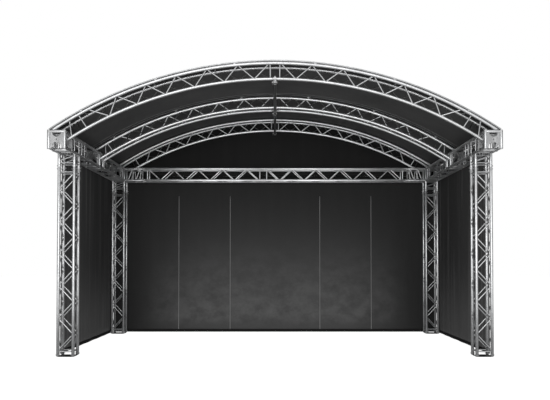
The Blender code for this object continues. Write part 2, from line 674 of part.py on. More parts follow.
def canvas_sheet(name, bm, material, outwards):
    """Give a sheet its thickness on the side that outwards points to."""
    bm.normal_update()
    if sum((face.normal.dot(outwards(face.calc_center_median())) for face in bm.faces)) < 0:
        bmesh.ops.reverse_faces(bm, faces=bm.faces)
    mesh = bpy.data.meshes.new(name)
    bm.to_mesh(mesh)
    bm.free()
    sheet = place(name, mesh, material)
    skin = sheet.modifiers.new("thickness", "SOLIDIFY")
    skin.thickness = CANVAS_T
    skin.offset = 1.0
    return sheet


def canopy(name, y_front, y_rear, flat_front, flat_rear):
    """Roof sheet between two keder rails; it sags a little between the arches that it lies over."""
    bm = bmesh.new()
    bmesh.ops.create_grid(bm, x_segments=CANOPY_SEGMENTS, y_segments=CANOPY_ROWS, size=0.5)
    for vert in bm.verts:
        angle = vert.co.x * 2 * RAIL_END_ANGLE
        y = y_front + (vert.co.y + 0.5) * (y_rear - y_front)
        share = (y - y_front - flat_front) / (y_rear - y_front - flat_front - flat_rear)
        sag = CANOPY_SAG * math.sin(math.pi * share) * (1 - 4 * vert.co.x ** 2) if 0 < share < 1 else 0.0
        vert.co = arc_point(RAIL_R - CANVAS_T / 2 - sag, angle, y)
    centre = Vector((0, 0, ARCH_CENTRE_Z))
    return canvas_sheet(name, bm, ROOF_CANVAS, lambda point: point - centre)


def wall(name, width, low, high, folds, to_world, outwards):
    """Hanging wall with soft upright folds that swing outwards, deeper towards the hem."""
    bm = bmesh.new()
    bmesh.ops.create_grid(bm, x_segments=folds * FOLD_COLUMNS, y_segments=1, size=0.5)
    for vert in bm.verts:
        across = vert.co.x * width
        up = low + (vert.co.y + 0.5) * (high - low)
        swing = 0.5 - 0.5 * math.cos(2 * math.pi * folds * (vert.co.x + 0.5))
        depth = WALL_FOLD * swing * (1.0 - FOLD_FADE * (vert.co.y + 0.5))
        vert.co = to_world(across, up, depth)
    return canvas_sheet(name, bm, WALL_CANVAS, lambda point: outwards)


def build_canvas():
    half = ARCH_SIDE / 2
    rail = rail_mesh()
    rails = {"front": FRONT_Y - half, "mid": MID_Y, "rear": REAR_Y + half}
    for depth, y in rails.items():
        place(f"keder_rail_{depth}", rail, ALUMINIUM, (0, y, 0))
    edge = RAIL_W / 2 + SEAT
    canopy("canopy_front", rails["front"] + edge, rails["mid"] - edge, ARCH_SIDE, 0.0)
    canopy("canopy_rear", rails["mid"] + edge, rails["rear"] - edge, 0.0, ARCH_SIDE)

    back_y = REAR_Y + BOX / 2 + SEAT
    split = BOX_TOP - GABLE_SPLIT
    gable = bmesh.new()
    radius = RAIL_R - RAIL_H / 2 - SEAT
    steps = [RAIL_END_ANGLE * (2 * step / CANOPY_SEGMENTS - 1) for step in range(CANOPY_SEGMENTS + 1)]
    outline = [gable.verts.new(arc_point(radius, angle, back_y)) for angle in steps]
    outline.append(gable.verts.new((WIDTH / 2, back_y, split + SEAT)))
    outline.append(gable.verts.new((-WIDTH / 2, back_y, split + SEAT)))
    gable.faces.new(outline)
    canvas_sheet("gable_rear", gable, WALL_CANVAS, lambda point: Y_AXIS)

    wall("wall_rear", WIDTH, WALL_GAP, split, REAR_FOLDS,
         lambda across, up, depth: Vector((across, back_y + depth, up)), Y_AXIS)
    front_edge = TOWER_FRONT_Y + HALF_PITCH
    run = REAR_Y + BOX / 2 - front_edge
    for side, word in ((LEFT, "left"), (RIGHT, "right")):
        wall(f"wall_{word}", run, WALL_GAP, BOX_TOP - CHORD_D / 2, SIDE_FOLDS,
             lambda across, up, depth, side=side: Vector((side * (WIDTH / 2 + SEAT + depth),
                                                          front_edge + run / 2 + across, up)),
             X_AXIS * side)


def bolt_offset(tube_d):
    """From the tube's centre to the swing bolt's centre."""
    return tube_d / 2 + CLAMP_WALL + NUT_GAP + NUT_AF / 2 * CLAMP_CORNER


def clamp_half(tube_d, lug_height, lug_end):
    """Half of a clamp round local X, above Z = 0: half a ring, and a lug at +Y with an open slot."""
    reach = tube_d / 2 + CLAMP_WALL
    bolt_y = bolt_offset(tube_d)
    ring = bmesh.new()
    rod(ring, (-CLAMP_W / 2, 0, 0), (CLAMP_W / 2, 0, 0), 2 * reach, CLAMP_SIDES, Y_AXIS)
    lug = bmesh.new()
    box(lug, (-LUG_W / 2, reach - CLAMP_WALL / 2, -lug_height), (LUG_W / 2, bolt_y + lug_end, lug_height))
    bore = bmesh.new()
    rod(bore, (-CLAMP_W, 0, 0), (CLAMP_W, 0, 0), tube_d, CLAMP_SIDES, Y_AXIS)
    slot = bmesh.new()
    box(slot, (-BOLT_SLOT / 2, bolt_y - BOLT_SLOT / 2, -reach), (BOLT_SLOT / 2, bolt_y + reach, reach))
    below = bmesh.new()
    box(below, (-CLAMP_W, -2 * reach, -2 * reach), (CLAMP_W, 2 * reach, SEAT / 2))
    return cut_from(united(mesh_from(ring), mesh_from(lug)), mesh_from(bore), mesh_from(slot), mesh_from(below))


def clamp_cap(tube_d):
    """Outer half of a clamp, with a leaf at -Y that lies on the hinge of the coupler's body."""
    reach = tube_d / 2 + CLAMP_WALL
    leaf = bmesh.new()
    box(leaf, (-LUG_W / 2, -reach - HINGE_D, SEAT / 2), (LUG_W / 2, CLAMP_WALL / 2 - reach, LEAF_T))
    return united(clamp_half(tube_d, LUG_H, LUG_PAST_BOLT), mesh_from(leaf))


def clamp_saddle(tube_d):
    """Inner half of a clamp, with a hinge rod at -Y and ears at +Y for the swing bolt's cross-head."""
    reach = tube_d / 2 + CLAMP_WALL
    hinge = bmesh.new()
    centre = Vector((0, -reach - HINGE_D / 4, SEAT / 2 + HINGE_D / 2 * CLAMP_CORNER))
    half = X_AXIS * LUG_W / 2
    rod(hinge, centre - half, centre + half, HINGE_D, CLAMP_SIDES, Y_AXIS)
    ears = clamp_half(tube_d, 2 * HEAD_DROP, HEAD_DROP)
    pivot = bmesh.new()
    at = Vector((0, bolt_offset(tube_d), HEAD_DROP))
    rod(pivot, at - 2 * half, at + 2 * half, 2 * (HEAD_REACH + SEAT), CLAMP_SIDES, Y_AXIS)
    return cut_from(united(ears, mesh_from(hinge)), mesh_from(pivot))


def coupler_body():
    """Two saddles back to back, square to each other. The origin is at the centre of the arch tube."""
    upper = moved(clamp_saddle(CLAMP_CHORD_D), HALF_TURN)
    lower = moved(clamp_saddle(CLAMP_PIPE_D), Matrix.Translation((0, 0, PIPE_DROP)) @ TURN_TO_PIPE)
    bore = bmesh.new()
    rod(bore, (-CLAMP_W, 0, 0), (CLAMP_W, 0, 0), CLAMP_CHORD_D, CLAMP_SIDES, Y_AXIS)
    pipe_bore = bmesh.new()
    rod(pipe_bore, (0, -CLAMP_W, PIPE_DROP), (0, CLAMP_W, PIPE_DROP), CLAMP_PIPE_D, CLAMP_SIDES, X_AXIS)
    return cut_from(united(upper, lower), mesh_from(bore), mesh_from(pipe_bore))


def swing_bolt():
    """Swing bolt with its nut, along local Z, its cross-head on local X at the origin."""
    shank = bmesh.new()
    rod(shank, (0, 0, 0), (0, 0, NUT_SEAT + NUT_H / 2), BOLT_D, CLAMP_SIDES, X_AXIS)
    head = bmesh.new()
    rod(head, (-HEAD_L / 2, 0, 0), (HEAD_L / 2, 0, 0), HEAD_D, CLAMP_SIDES)
    nut = bmesh.new()
    rod(nut, (0, 0, NUT_SEAT), (0, 0, NUT_SEAT + NUT_H), NUT_AF, CLAMP_SIDES, X_AXIS)
    return united(mesh_from(shank), mesh_from(head), mesh_from(nut))


def build_couplers():
    pipe_start = FRONT_Y - PIPE_END
    pipe_end = REAR_Y + PIPE_END
    pipe = bmesh.new()
    rod(pipe, (0, 0, 0), (0, pipe_end - pipe_start, 0), PIPE_D, CLAMP_SIDES, X_AXIS)
    place("ridge_pipe", mesh_from(pipe), ALUMINIUM, (0, pipe_start, PIPE_Z))
    body = coupler_body()
    arch_cap = clamp_cap(CLAMP_CHORD_D)
    pipe_cap = moved(clamp_cap(CLAMP_PIPE_D), HALF_TURN)
    bolt = swing_bolt()
    arch_bolt_y = bolt_offset(CLAMP_CHORD_D)
    pipe_bolt_x = bolt_offset(CLAMP_PIPE_D)
    half = ARCH_SIDE / 2
    places = {"front": FRONT_Y, "mid_front": MID_Y - half, "mid_rear": MID_Y + half, "rear": REAR_Y}
    bolts_in_front = (0, 0, math.pi)
    for word, y in places.items():
        place(f"coupler_{word}", body, ZINC, (0, y, CROWN_LOW_Z), bolts_in_front)
        place(f"arch_cap_{word}", arch_cap, ZINC, (0, y, CROWN_LOW_Z), bolts_in_front)
        place(f"pipe_cap_{word}", pipe_cap, ZINC, (0, y, PIPE_Z), (0, 0, math.pi / 2))
        place(f"arch_bolt_{word}", bolt, ZINC, (0, y - arch_bolt_y, CROWN_LOW_Z - HEAD_DROP), bolts_in_front)
        place(f"pipe_bolt_{word}", bolt, ZINC, (-pipe_bolt_x, y, PIPE_Z + HEAD_DROP),
              (math.pi, 0, -math.pi / 2))


build_structure()
build_rear_truss()
build_arches()
build_canvas()
build_couplers()
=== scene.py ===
"""Looks of the arched truss stage roof: welded truss with its pins, steel couplers and canvas.

Metres, +Z up, +X to the right of someone who faces the stage, +Y to the back of the stage.
Every place comes from the frame, or from the sizes of the truss that the frame was built with.
"""

import json
import math

import bmesh
import bpy
from mathutils import Matrix, Vector


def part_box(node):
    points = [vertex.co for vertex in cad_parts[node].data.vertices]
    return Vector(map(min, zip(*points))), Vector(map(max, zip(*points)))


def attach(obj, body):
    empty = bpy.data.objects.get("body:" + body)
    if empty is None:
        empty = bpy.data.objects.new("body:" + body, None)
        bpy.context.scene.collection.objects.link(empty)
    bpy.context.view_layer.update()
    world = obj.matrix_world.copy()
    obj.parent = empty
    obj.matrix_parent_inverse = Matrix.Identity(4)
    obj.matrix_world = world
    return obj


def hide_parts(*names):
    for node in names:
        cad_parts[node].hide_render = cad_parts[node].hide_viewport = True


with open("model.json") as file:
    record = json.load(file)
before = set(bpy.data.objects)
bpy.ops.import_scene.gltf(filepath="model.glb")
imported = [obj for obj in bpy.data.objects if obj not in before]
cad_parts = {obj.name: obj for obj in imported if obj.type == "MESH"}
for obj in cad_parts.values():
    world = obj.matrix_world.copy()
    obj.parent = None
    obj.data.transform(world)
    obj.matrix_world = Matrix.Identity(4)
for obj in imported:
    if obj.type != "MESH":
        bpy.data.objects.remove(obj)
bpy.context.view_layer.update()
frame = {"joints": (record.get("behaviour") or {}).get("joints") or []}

LEFT = -1
RIGHT = 1
X_AXIS = Vector((1, 0, 0))
Y_AXIS = Vector((0, 1, 0))
UP = Vector((0, 0, 1))
FULL_TURN = 2 * math.pi
SIDES = ((LEFT, "left"), (RIGHT, "right"))
SECTION = [(-1, -1), (1, -1), (1, 1), (-1, 1)]    # corners of a square truss

# Sockets of the node that blends two colours.
MIX_SHARE = 0
MIX_FIRST = 6
MIX_SECOND = 7
MIX_RESULT = 2

SEAT = 0.0003             # gap between pieces that bear on each other

# Tubes of the bought truss.
CHORD_D = 0.050
CHORD_PITCH = 0.240
CHORD_SIDES = 24
CHORD_RIM = 0.0015
BRACE_D = 0.020
BRACE_SIDES = 12
BRACE_INSET = 0.016       # a brace stops this short of the main tube's centre, inside its wall
BAR_GAP = 0.014           # from a cross-bar to where the nearest diagonal meets the main tube
END_BAR = 0.073
ARM_NEAR_GAP = 0.020
ARM_FAR_GAP = 0.032
ZIGZAG_STEP = 0.253
TOWER_FOOT_BAR = 0.078
LEG_LENGTH = 0.210
TEE_LENGTH = 0.710
CORNER_ARM_X = 0.395
ARM_MIDDLE_BAR = 0.162    # bars in the middle of the long arm, from the corner's box
ARM_STEEP_GAP = 0.060     # from the start of each of its bays to the foot of the steep diagonal
CORNER_ARM_Y = 0.210

# Weld beads and the sockets in the tube ends.
BEAD_R = 0.0022
SOCKET_RING = 0.042       # from a tube's end to the weld of its socket
PIN_FROM_END = 0.024
PIN_D = 0.012
PIN_L = 0.060
PIN_HEAD_D = 0.018
PIN_HEAD_T = 0.005
CLIP_R = 0.010
CLIP_WIRE = 0.0012

# Floor plates.
FLOOR_CORNER_R = 0.025
FLOOR_RIM = 0.0015

# Face plates of the box corners.
PLATE_SHEET = 0.008
PLATE_SET_BACK = 0.012
PLATE_FOOT = 0.142        # from the plate's middle down to its lower edge
UPPER_NOTCH_R = 0.067
UPPER_NOTCH_Z = 0.108
LOWER_NOTCH_R = 0.075
LOWER_NOTCH_Z = -0.118
PLATE_HOLE_R = 0.011
PLATE_RIM = 0.0015

# Arches.
ARCH_RISE = 1.045
ARCH_FOOT_INSET = 0.025
ARCH_NODE_GAP = -0.006    # half the distance between two brace ends on a tube; they cross a little
ARCH_STEPS = 48
ARCH_DIAGONALS = 12
ARCH_CROSS_BARS = (3, 7)
ARCH_FIRST_NODE = 0.090
ARCH_LAST_NODE = 2.910
ARCH_RADIAL_BAR = 3.075
ARCH_RADIAL_SHIFT = 0.100
ARCH_END_BAR = 0.045
ARCH_SPARE = 0.01         # radians that a bent tube is drawn too long, before it is cut to fit

# Keder rails.
RAIL_W = 0.016
RAIL_H = 0.018
RAIL_LIFT = 0.009
MID_RAIL_RAISE = 0.016    # the middle rail stands on taller clips
RAIL_STEPS = 96
RAIL_SLOT = 0.004
RAIL_CLIP_SHARES = (1 / 6, 3 / 6, 5 / 6)
RAIL_CLIP_L = 0.040
RAIL_CLIP_W = 0.012
RAIL_CLIP_RIM = 0.001
RAIL_SUNK = 0.002         # the rail sits this far down in its clips
CLIP_SUNK = 0.002         # the foot of a clip reaches this far into the tube
EDGE_IN_RAIL = 0.002      # the edge of a roof sheet reaches this far into its rail

# Canvas.
CLOTH_T = 0.0012
TAPE_T = 2.5 * CLOTH_T
THREAD = 0.0016
CANOPY_GRID = (120, 30)
CANOPY_SAG = 0.012
CANOPY_RIPPLE = 0.0015
LONG_WAVE = 17            # radians of ripple over the width of a roof sheet
SHORT_WAVE = 46
CANOPY_SEAM = 0.110       # from a sheet's keder edge to the seam of its hem
CANOPY_SEAM_W = 0.014
HEM = 0.060
HEM_ROWS = 2
WALL_ROWS = 24
REAR_COLUMNS = 260
SIDE_COLUMNS = 140
GABLE_COLUMNS = 160
REAR_FOLDS = (9, 0.010, 0.7)      # how many folds, how deep and how far along they start
SIDE_FOLDS = (6, 0.014, 1.3)
GABLE_FOLDS = 7
GABLE_FOLD_DEPTH = 0.004
GABLE_SPLIT = 0.145
REAR_SEAMS = (-2.07, -0.965, 0.965, 2.07)
REAR_SEAM_DROP = 0.43     # a seam's tape ends this far below the top of its wall
SIDE_SEAMS = (1.68, 2.73)         # back from the front tower
SIDE_SEAM_DROP = 0.4
SEAM_W = 0.012
STRIP_STEP = 0.03
WALL_CLEAR = 0.010        # walls and gable hang this far outside the tubes, past most of the pins
WALL_OVER_TUBE = 0.004    # the side walls stand this far above the eave

# Ridge pipe and couplers.
PIPE_D = 0.0483
PIPE_WALL = 0.0035
PIPE_SIDES = 32
PIPE_RIM = 0.0006
PLUG_SET_BACK = 0.0015
PLUG_DEPTH = 0.020
CLAMP_W = 0.035
CLAMP_WALL = 0.006
CLAMP_RIM = 0.0012
CLAMP_STEPS = 20
STEM_GAP = 0.001          # from the block between two saddles to their bores
STEM_RIM = 0.001
WEB_RIM = 0.0008
HINGE_D = 0.010
LUG_W = 0.032
LUG_H = 0.008
NUT_GAP = 0.001
LUG_PAST_BOLT = 0.003
EAR_WALL = 0.003
LEAF_T = 0.006
LEAF_RIM = 0.001
BOLT_D = 0.010
BOLT_SLOT = 0.013
HEAD_L = 0.028
NUT_AF = 0.018
NUT_H = 0.010
BOLT_TAIL = 0.016
NUT_RIM = 0.0009
THREAD_TURNS = 10
THREAD_RIDGE_R = 0.0005

# Studio.
FLOOR_REACH = 60
# The floor as metal mirrors it: painted light in front of the stage, painted shade under the roof.
FLOOR_GLOW_FROM = -4.2    # Y up to which the mirrored floor is palest, and from where it is dark
FLOOR_GLOW_TO = -2.4
GLOSSY_LIFT = 4.0         # reflections see the surroundings this many times brighter on top
LAMPS = (("key", (-1.5, -20.0, 3.5), 9.0, 1150.0), ("top", (0.0, -2.0, 14.0), 8.0, 120.0))
LAMP_TARGET = Vector((0, 0, 2.2))
CAMERA_PLACE = (0.0, -12.2, 1.465)
CAMERA_TILT = 0.0245
CAMERA_LENS = 43.6
CAMERA_SHIFT = 0.0870

# Worked out from the frame and the sizes above.
HALF_PITCH = CHORD_PITCH / 2
CHORD_R = CHORD_D / 2
BOX = CHORD_PITCH + CHORD_D
ARCH_SIDE = CHORD_PITCH


def middle_of(node):
    low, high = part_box(node)
    return (low + high) / 2


corner_low, corner_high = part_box("box_corner_front_right")
TOWER_X = middle_of("tower_front_right").x
FRONT_Y = middle_of("box_corner_front_right").y
MID_Y = middle_of("box_mid_right").y
TOWER_FRONT_Y = middle_of("tower_front_right").y
REAR_Y = middle_of("tower_rear_right").y
BOX_TOP = corner_high.z
BOX_MIDDLE = (corner_low.z + corner_high.z) / 2
WIDTH = 2 * TOWER_X + BOX
UPPER_Z = BOX_MIDDLE + HALF_PITCH
ARCH_HALF = TOWER_X + HALF_PITCH - ARCH_FOOT_INSET
ARCH_R = (ARCH_HALF ** 2 + ARCH_RISE ** 2) / (2 * ARCH_RISE)
ARCH_CENTRE_Z = UPPER_Z + ARCH_RISE - ARCH_R
ARCH_LOW_R = ARCH_R - ARCH_SIDE * math.sqrt(3) / 2
ARCH_MEAN_R = (ARCH_R + ARCH_LOW_R) / 2
ARCH_END_ANGLE = math.asin(ARCH_HALF / ARCH_R) + ARCH_SPARE
ARCH_FACE_X = TOWER_X - BOX / 2
REAR_FOOT_X = math.sqrt(ARCH_LOW_R ** 2 - (BOX_TOP - ARCH_CENTRE_Z) ** 2)
RAIL_R = ARCH_R + CHORD_R + RAIL_LIFT + RAIL_H / 2 - RAIL_SUNK
RAIL_END_ANGLE = math.acos((BOX_TOP + SEAT - ARCH_CENTRE_Z) / (RAIL_R - RAIL_H / 2))
CROWN_LOW_Z = ARCH_CENTRE_Z + ARCH_LOW_R
PIPE_Z = middle_of("ridge_pipe").z
BACK_Y = REAR_Y + BOX / 2 + SEAT


class Wire:
    """A value on its way through a shader, with arithmetic that adds its nodes."""

    def __init__(self, shading, socket):
        self.shading = shading
        self.socket = socket

    def maths(self, operation, *values):
        sockets = dict(enumerate(values))
        return self.shading.node("ShaderNodeMath", {"operation": operation}, sockets)

    def __add__(self, other):
        return self.maths("ADD", self, other)

    def __radd__(self, other):
        return self.maths("ADD", other, self)

    def __sub__(self, other):
        return self.maths("SUBTRACT", self, other)

    def __rsub__(self, other):
        return self.maths("SUBTRACT", other, self)

    def __mul__(self, other):
        return self.maths("MULTIPLY", self, other)

    def __rmul__(self, other):
        return self.maths("MULTIPLY", other, self)

    def sine(self):
        return self.maths("SINE", self)

    def between(self, low, high):
        """0 below low, 1 above high, and a smooth step from one to the other."""
        settings = {"interpolation_type": "SMOOTHSTEP"}
        sockets = {"Value": self, "From Min": low, "From Max": high}
        return self.shading.node("ShaderNodeMapRange", settings, sockets)


class Shading:
    """A tree of nodes under way, of a finish or of the studio's surroundings."""

    def __init__(self, tree):
        self.tree = tree

    def node(self, kind, settings, sockets, output=0):
        """Add one node: its settings first, then the values or links of its sockets."""
        made = self.tree.nodes.new(kind)
        for setting, value in settings.items():
            setattr(made, setting, value)
        for socket, value in sockets.items():
            if isinstance(value, Wire):
                self.tree.links.new(value.socket, made.inputs[socket])
            else:
                made.inputs[socket].default_value = value
        return Wire(self, made.outputs[output])

    def ray(self, kind):
        """1 for rays of this kind, 0 for others."""
        return self.node("ShaderNodeLightPath", {}, {}, f"Is {kind} Ray")

    def axes(self, place):
        """The X, Y and Z of a place, as three wires."""
        outputs = self.node("ShaderNodeSeparateXYZ", {}, {"Vector": place}).socket.node.outputs
        return [Wire(self, outputs[axis]) for axis in ("X", "Y", "Z")]


class Finish(Shading):
    """A finish under way: one Principled shader and the nodes that drive it."""

    def __init__(self, name, **sockets):
        self.material = bpy.data.materials.new(name)
        self.material.use_nodes = True
        super().__init__(self.material.node_tree)
        self.shader = self.tree.nodes["Principled BSDF"]
        for socket, value in sockets.items():
            self.shader.inputs[socket.replace("_", " ")].default_value = value

    def place(self):
        return self.node("ShaderNodeTexCoord", {}, {}, "Object")

    def cloth_place(self):
        return self.node("ShaderNodeTexCoord", {}, {}, "UV")

    def stretched(self, place, scale):
        return self.node("ShaderNodeMapping", {}, {"Vector": place, "Scale": scale})

    def cloud(self, place, scale, detail=4.0, roughness=0.55):
        """Soft noise from 0 to 1 with patches of about 1 / scale metres."""
        values = {"Vector": place, "Scale": scale, "Detail": detail, "Roughness": roughness}
        return self.node("ShaderNodeTexNoise", {}, values, "Fac")

    def mark(self, name):
        return self.node("ShaderNodeAttribute", {"attribute_name": name}, {}, "Fac")

    def blend(self, share, first, second):
        """Colour that goes from the first to the second as share goes from 0 to 1."""
        sockets = {MIX_SHARE: share, MIX_FIRST: first, MIX_SECOND: second}
        return self.node("ShaderNodeMix", {"data_type": "RGBA"}, sockets, MIX_RESULT)

    def bump(self, height, strength, distance):
        sockets = {"Height": height, "Strength": strength, "Distance": distance}
        return self.node("ShaderNodeBump", {}, sockets)

    def drive(self, **wires):
        for socket, wire in wires.items():
            self.tree.links.new(wire.socket, self.shader.inputs[socket.replace("_", " ")])
        return self.material


def grey(value, warmth=0.0):
    """Near-neutral colour; warmth above 0 leans to yellow, below 0 to blue."""
    return (value * (1 + warmth), value, value * (1 - warmth), 1.0)


def tube_aluminium(name, light):
    """Mill-finish tube: even sheen with handling smears, and dull rippled weld beads. Where the
    shade mark is set, painted shade darkens it.
    """
    finish = Finish(name, Metallic=0.90)
    place = finish.place()
    smear = finish.cloud(place, 5.0)
    fine = finish.cloud(place, 90.0, 3.0)
    weld = finish.mark("weld")
    tube = finish.blend(smear.between(0.35, 0.7), grey(light, -0.01), grey(0.84 * light, -0.012))
    colour = finish.blend(weld, tube, grey(0.72 * light, 0.015))
    # Painted shade: the shade mark darkens the back braces of the arches.
    colour = finish.blend(finish.mark("shade"), colour, grey(0.26 * light, 0.01))
    roughness = 0.25 + 0.12 * smear + 0.07 * fine + 0.10 * weld
    ripple = finish.cloud(place, 420.0, 1.0)
    height = 0.15 * fine + weld * ripple
    return finish.drive(Base_Color=colour, Roughness=roughness,
                        Normal=finish.bump(height, 0.25, 0.0008))


def sheet_aluminium():
    """Plates of the box corners: rolled sheet, duller than the tubes."""
    finish = Finish("sheet_aluminium", Metallic=0.35)
    place = finish.place()
    smear = finish.cloud(place, 9.0)
    rolled = finish.cloud(finish.stretched(place, (14.0, 14.0, 260.0)), 1.0, 3.0)
    colour = finish.blend(smear.between(0.3, 0.75), grey(0.45, -0.01), grey(0.41, -0.01))
    roughness = 0.36 + 0.12 * smear + 0.08 * rolled
    return finish.drive(Base_Color=colour, Roughness=roughness,
                        Normal=finish.bump(rolled, 0.12, 0.0006))


def satin_black():
    """Black powder coat of the floor plates, scuffed where boots and truss have rubbed it."""
    finish = Finish("satin_black")
    place = finish.place()
    scuff = finish.cloud(place, 26.0, 6.0, 0.7).between(0.58, 0.74)
    grain = finish.cloud(place, 700.0, 2.0)
    colour = finish.blend(scuff, grey(0.012), grey(0.060, 0.02))
    return finish.drive(Base_Color=colour, Roughness=0.42 + 0.2 * scuff + 0.08 * grain,
                        Normal=finish.bump(grain, 0.15, 0.0004))


def zinc_plate(name, light):
    """Zinc on clamps, bolts and nuts, with a faint mottle; painted shade darkens it where the shade
    mark is set.
    """
    finish = Finish(name, Metallic=0.25)
    place = finish.place()
    mottle = finish.cloud(place, 160.0, 3.0)
    wear_and_painted_light = finish.cloud(place, 30.0)
    colour = finish.blend(mottle.between(0.3, 0.7), grey(light, -0.015), grey(0.85 * light, 0.01))
    # Painted shade: the shade mark darkens the lugs of the ridge pipe's clamps.
    colour = finish.blend(finish.mark("shade"), colour, grey(0.14 * light, 0.01))
    return finish.drive(Base_Color=colour, Roughness=0.34 + 0.18 * wear_and_painted_light + 0.06 * mottle,
                        Normal=finish.bump(mottle, 0.1, 0.0004))


def weave(finish):
    """Plain weave, from the cloth's own flat measure in metres."""
    across, along, _ = finish.axes(finish.cloth_place())
    turns = math.pi / THREAD
    return 0.5 + 0.5 * (across * turns).sine() * (along * turns).sine()


def roof_canvas():
    """Coated roof canvas: dark charcoal with a low sheen, faint creases and a fine weave."""
    finish = Finish("roof_canvas", Specular_IOR_Level=0.35)
    place = finish.place()
    threads = weave(finish)
    crease = finish.cloud(finish.stretched(place, (1.0, 2.2, 1.0)), 3.2, 5.0)
    dust = finish.cloud(place, 1.3)
    colour = finish.blend(dust.between(0.3, 0.8), grey(0.052), grey(0.072))
    height = 0.08 * threads + crease
    return finish.drive(Base_Color=colour, Roughness=0.56 + 0.14 * crease,
                        Normal=finish.bump(height, 0.18, 0.006))


def wall_canvas(name, shade):
    """Wall canvas: matt near-black with a weave and upright creases; shade gives its colour, which
    on the rear and side walls holds painted light.
    """
    finish = Finish(name, Specular_IOR_Level=0.3)
    place = finish.place()
    threads = weave(finish)
    crease = finish.cloud(finish.stretched(place, (3.0, 3.0, 0.35)), 2.0, 4.0)
    bumps = 0.06 * threads + crease
    return finish.drive(Base_Color=shade(finish, place), Roughness=0.66 + 0.14 * crease,
                        Normal=finish.bump(bumps, 0.15, 0.006))


def rear_shade(finish, place):
    """Painted light: paler towards the middle and the foot, and painted shade towards the top and
    the sides; with smoky scuffs low down and a dark hem.
    """
    across, _, height_up = finish.axes(place)
    puff = finish.cloud(finish.stretched(place, (1.0, 1.0, 1.3)), 3.4, 6.0, 0.68)
    low = 1.0 - height_up.between(0.1, 2.2)
    above_hem = height_up.between(0.05, 0.40)
    dusty = puff.between(0.22, 0.80) * low * above_hem * (1.0 - (across * across).between(1.2, 9.0))
    # Painted light: paler in the middle and low down, painted shade towards the top and the sides.
    wear_and_painted_light = (1.0 - (across * across).between(0.0, 11.0)) * (1.0 - height_up.between(0.6, 3.4))
    base = finish.blend(wear_and_painted_light, grey(0.0150), grey(0.074))
    return finish.blend(dusty, base, grey(0.150))


def side_shade(finish, place):
    """Painted light: paler towards the front edge and the foot; pale streaks down the front panel,
    drawn stronger towards the front with the painted light.
    """
    _, along, height_up = finish.axes(place)
    # Painted light: paler towards the open front and the foot.
    forward = 1.0 - along.between(-1.2, 1.3)
    low = 1.0 - height_up.between(0.2, 1.7)
    streak = finish.cloud(finish.stretched(place, (1.0, 5.0, 0.12)), 2.2, 3.0).between(0.50, 0.66)
    base = finish.blend(0.55 * forward + 0.75 * low, grey(0.037), grey(0.098))
    return finish.blend((0.35 + 0.4 * forward) * streak, base, grey(0.16))


def gable_shade(finish, place):
    return finish.blend(finish.cloud(place, 1.5), grey(0.0048), grey(0.0078))


def seam_tape():
    """Grey tape over the panel seams, stitched down both edges."""
    finish = Finish("seam_tape", Specular_IOR_Level=0.3)
    place = finish.place()
    fluff = finish.cloud(place, 120.0)
    colour = finish.blend(fluff, grey(0.24), grey(0.32))
    return finish.drive(Base_Color=colour, Roughness=0.6 + 0.2 * fluff,
                        Normal=finish.bump(fluff, 0.2, 0.0005))


# Copies of one tube finish that differ only in brightness: the lit copy on the mid and rear arches
# and the rear truss is painted light; the dark copies on the ridge pipe and the keder rails are
# painted shade.
TUBE = tube_aluminium("tube_aluminium", 0.60)
PAINTED_LIGHT_TUBE = tube_aluminium("painted_light_tube_aluminium", 0.97)
TOWER_TUBE = tube_aluminium("tower_tube_aluminium", 0.62)
SHADED_TUBE = tube_aluminium("shaded_tube_aluminium", 0.24)
RAIL = tube_aluminium("rail_aluminium", 0.42)
SHEET = sheet_aluminium()
BLACK = satin_black()
# Copies of one zinc finish: the near-white one on the clamp bodies, arch caps and arch bolts is
# lightened as painted light; the dark ones on the ridge pipe's caps and bolts are painted shade.
ZINC = zinc_plate("zinc_plate", 1.0)
SHADED_ZINC = zinc_plate("shaded_zinc_plate", 0.13)
SHADED_CAP_ZINC = zinc_plate("shaded_cap_zinc_plate", 0.35)
ROOF_CLOTH = roof_canvas()
REAR_CLOTH = wall_canvas("rear_wall_canvas", rear_shade)
SIDE_CLOTH = wall_canvas("side_wall_canvas", side_shade)
GABLE_CLOTH = wall_canvas("gable_canvas", gable_shade)
TAPE = seam_tape()


def stand(name, bm, finish, body="roof", instead_of=(), crease=40):
    """Close a bmesh into a named piece that rides on a body."""
    mesh = bpy.data.meshes.new(name)
    bm.to_mesh(mesh)
    bm.free()
    mesh.shade_smooth()
    mesh.set_sharp_from_angle(angle=math.radians(crease))
    mesh.materials.append(finish)
    piece = bpy.data.objects.new(name, mesh)
    bpy.context.scene.collection.objects.link(piece)
    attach(piece, body)
    if instead_of:
        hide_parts(*instead_of)
    return piece


def marked(bm, name, value=1.0):
    """Mark every point of a shape, for the finishes that ask for this mark."""
    mark = bm.verts.layers.float.new(name)
    for vert in bm.verts:
        vert[mark] = value
    return bm


def template(bm, weld=0.0, shade=0.0):
    """Keep a shape as a mesh to be copied many times, marked as weld metal or for painted shade."""
    marked(bm, "weld", weld)
    marked(bm, "shade", shade)
    bmesh.ops.recalc_face_normals(bm, faces=bm.faces)
    mesh = bpy.data.meshes.new("template")
    bm.to_mesh(mesh)
    bm.free()
    return mesh


def add(bm, shape, matrix):
    """Add a copy of a template to a piece under way."""
    copy = shape.copy()
    copy.transform(matrix)
    bm.from_mesh(copy)
    bpy.data.meshes.remove(copy)


def axes_matrix(origin, along_x, along_z):
    """Frame at a point with these X and Z directions, which stand square to each other."""
    along_x = along_x.normalized()
    along_z = along_z.normalized()
    turn = Matrix((along_x, along_z.cross(along_x), along_z)).transposed().to_4x4()
    return Matrix.Translation(origin) @ turn


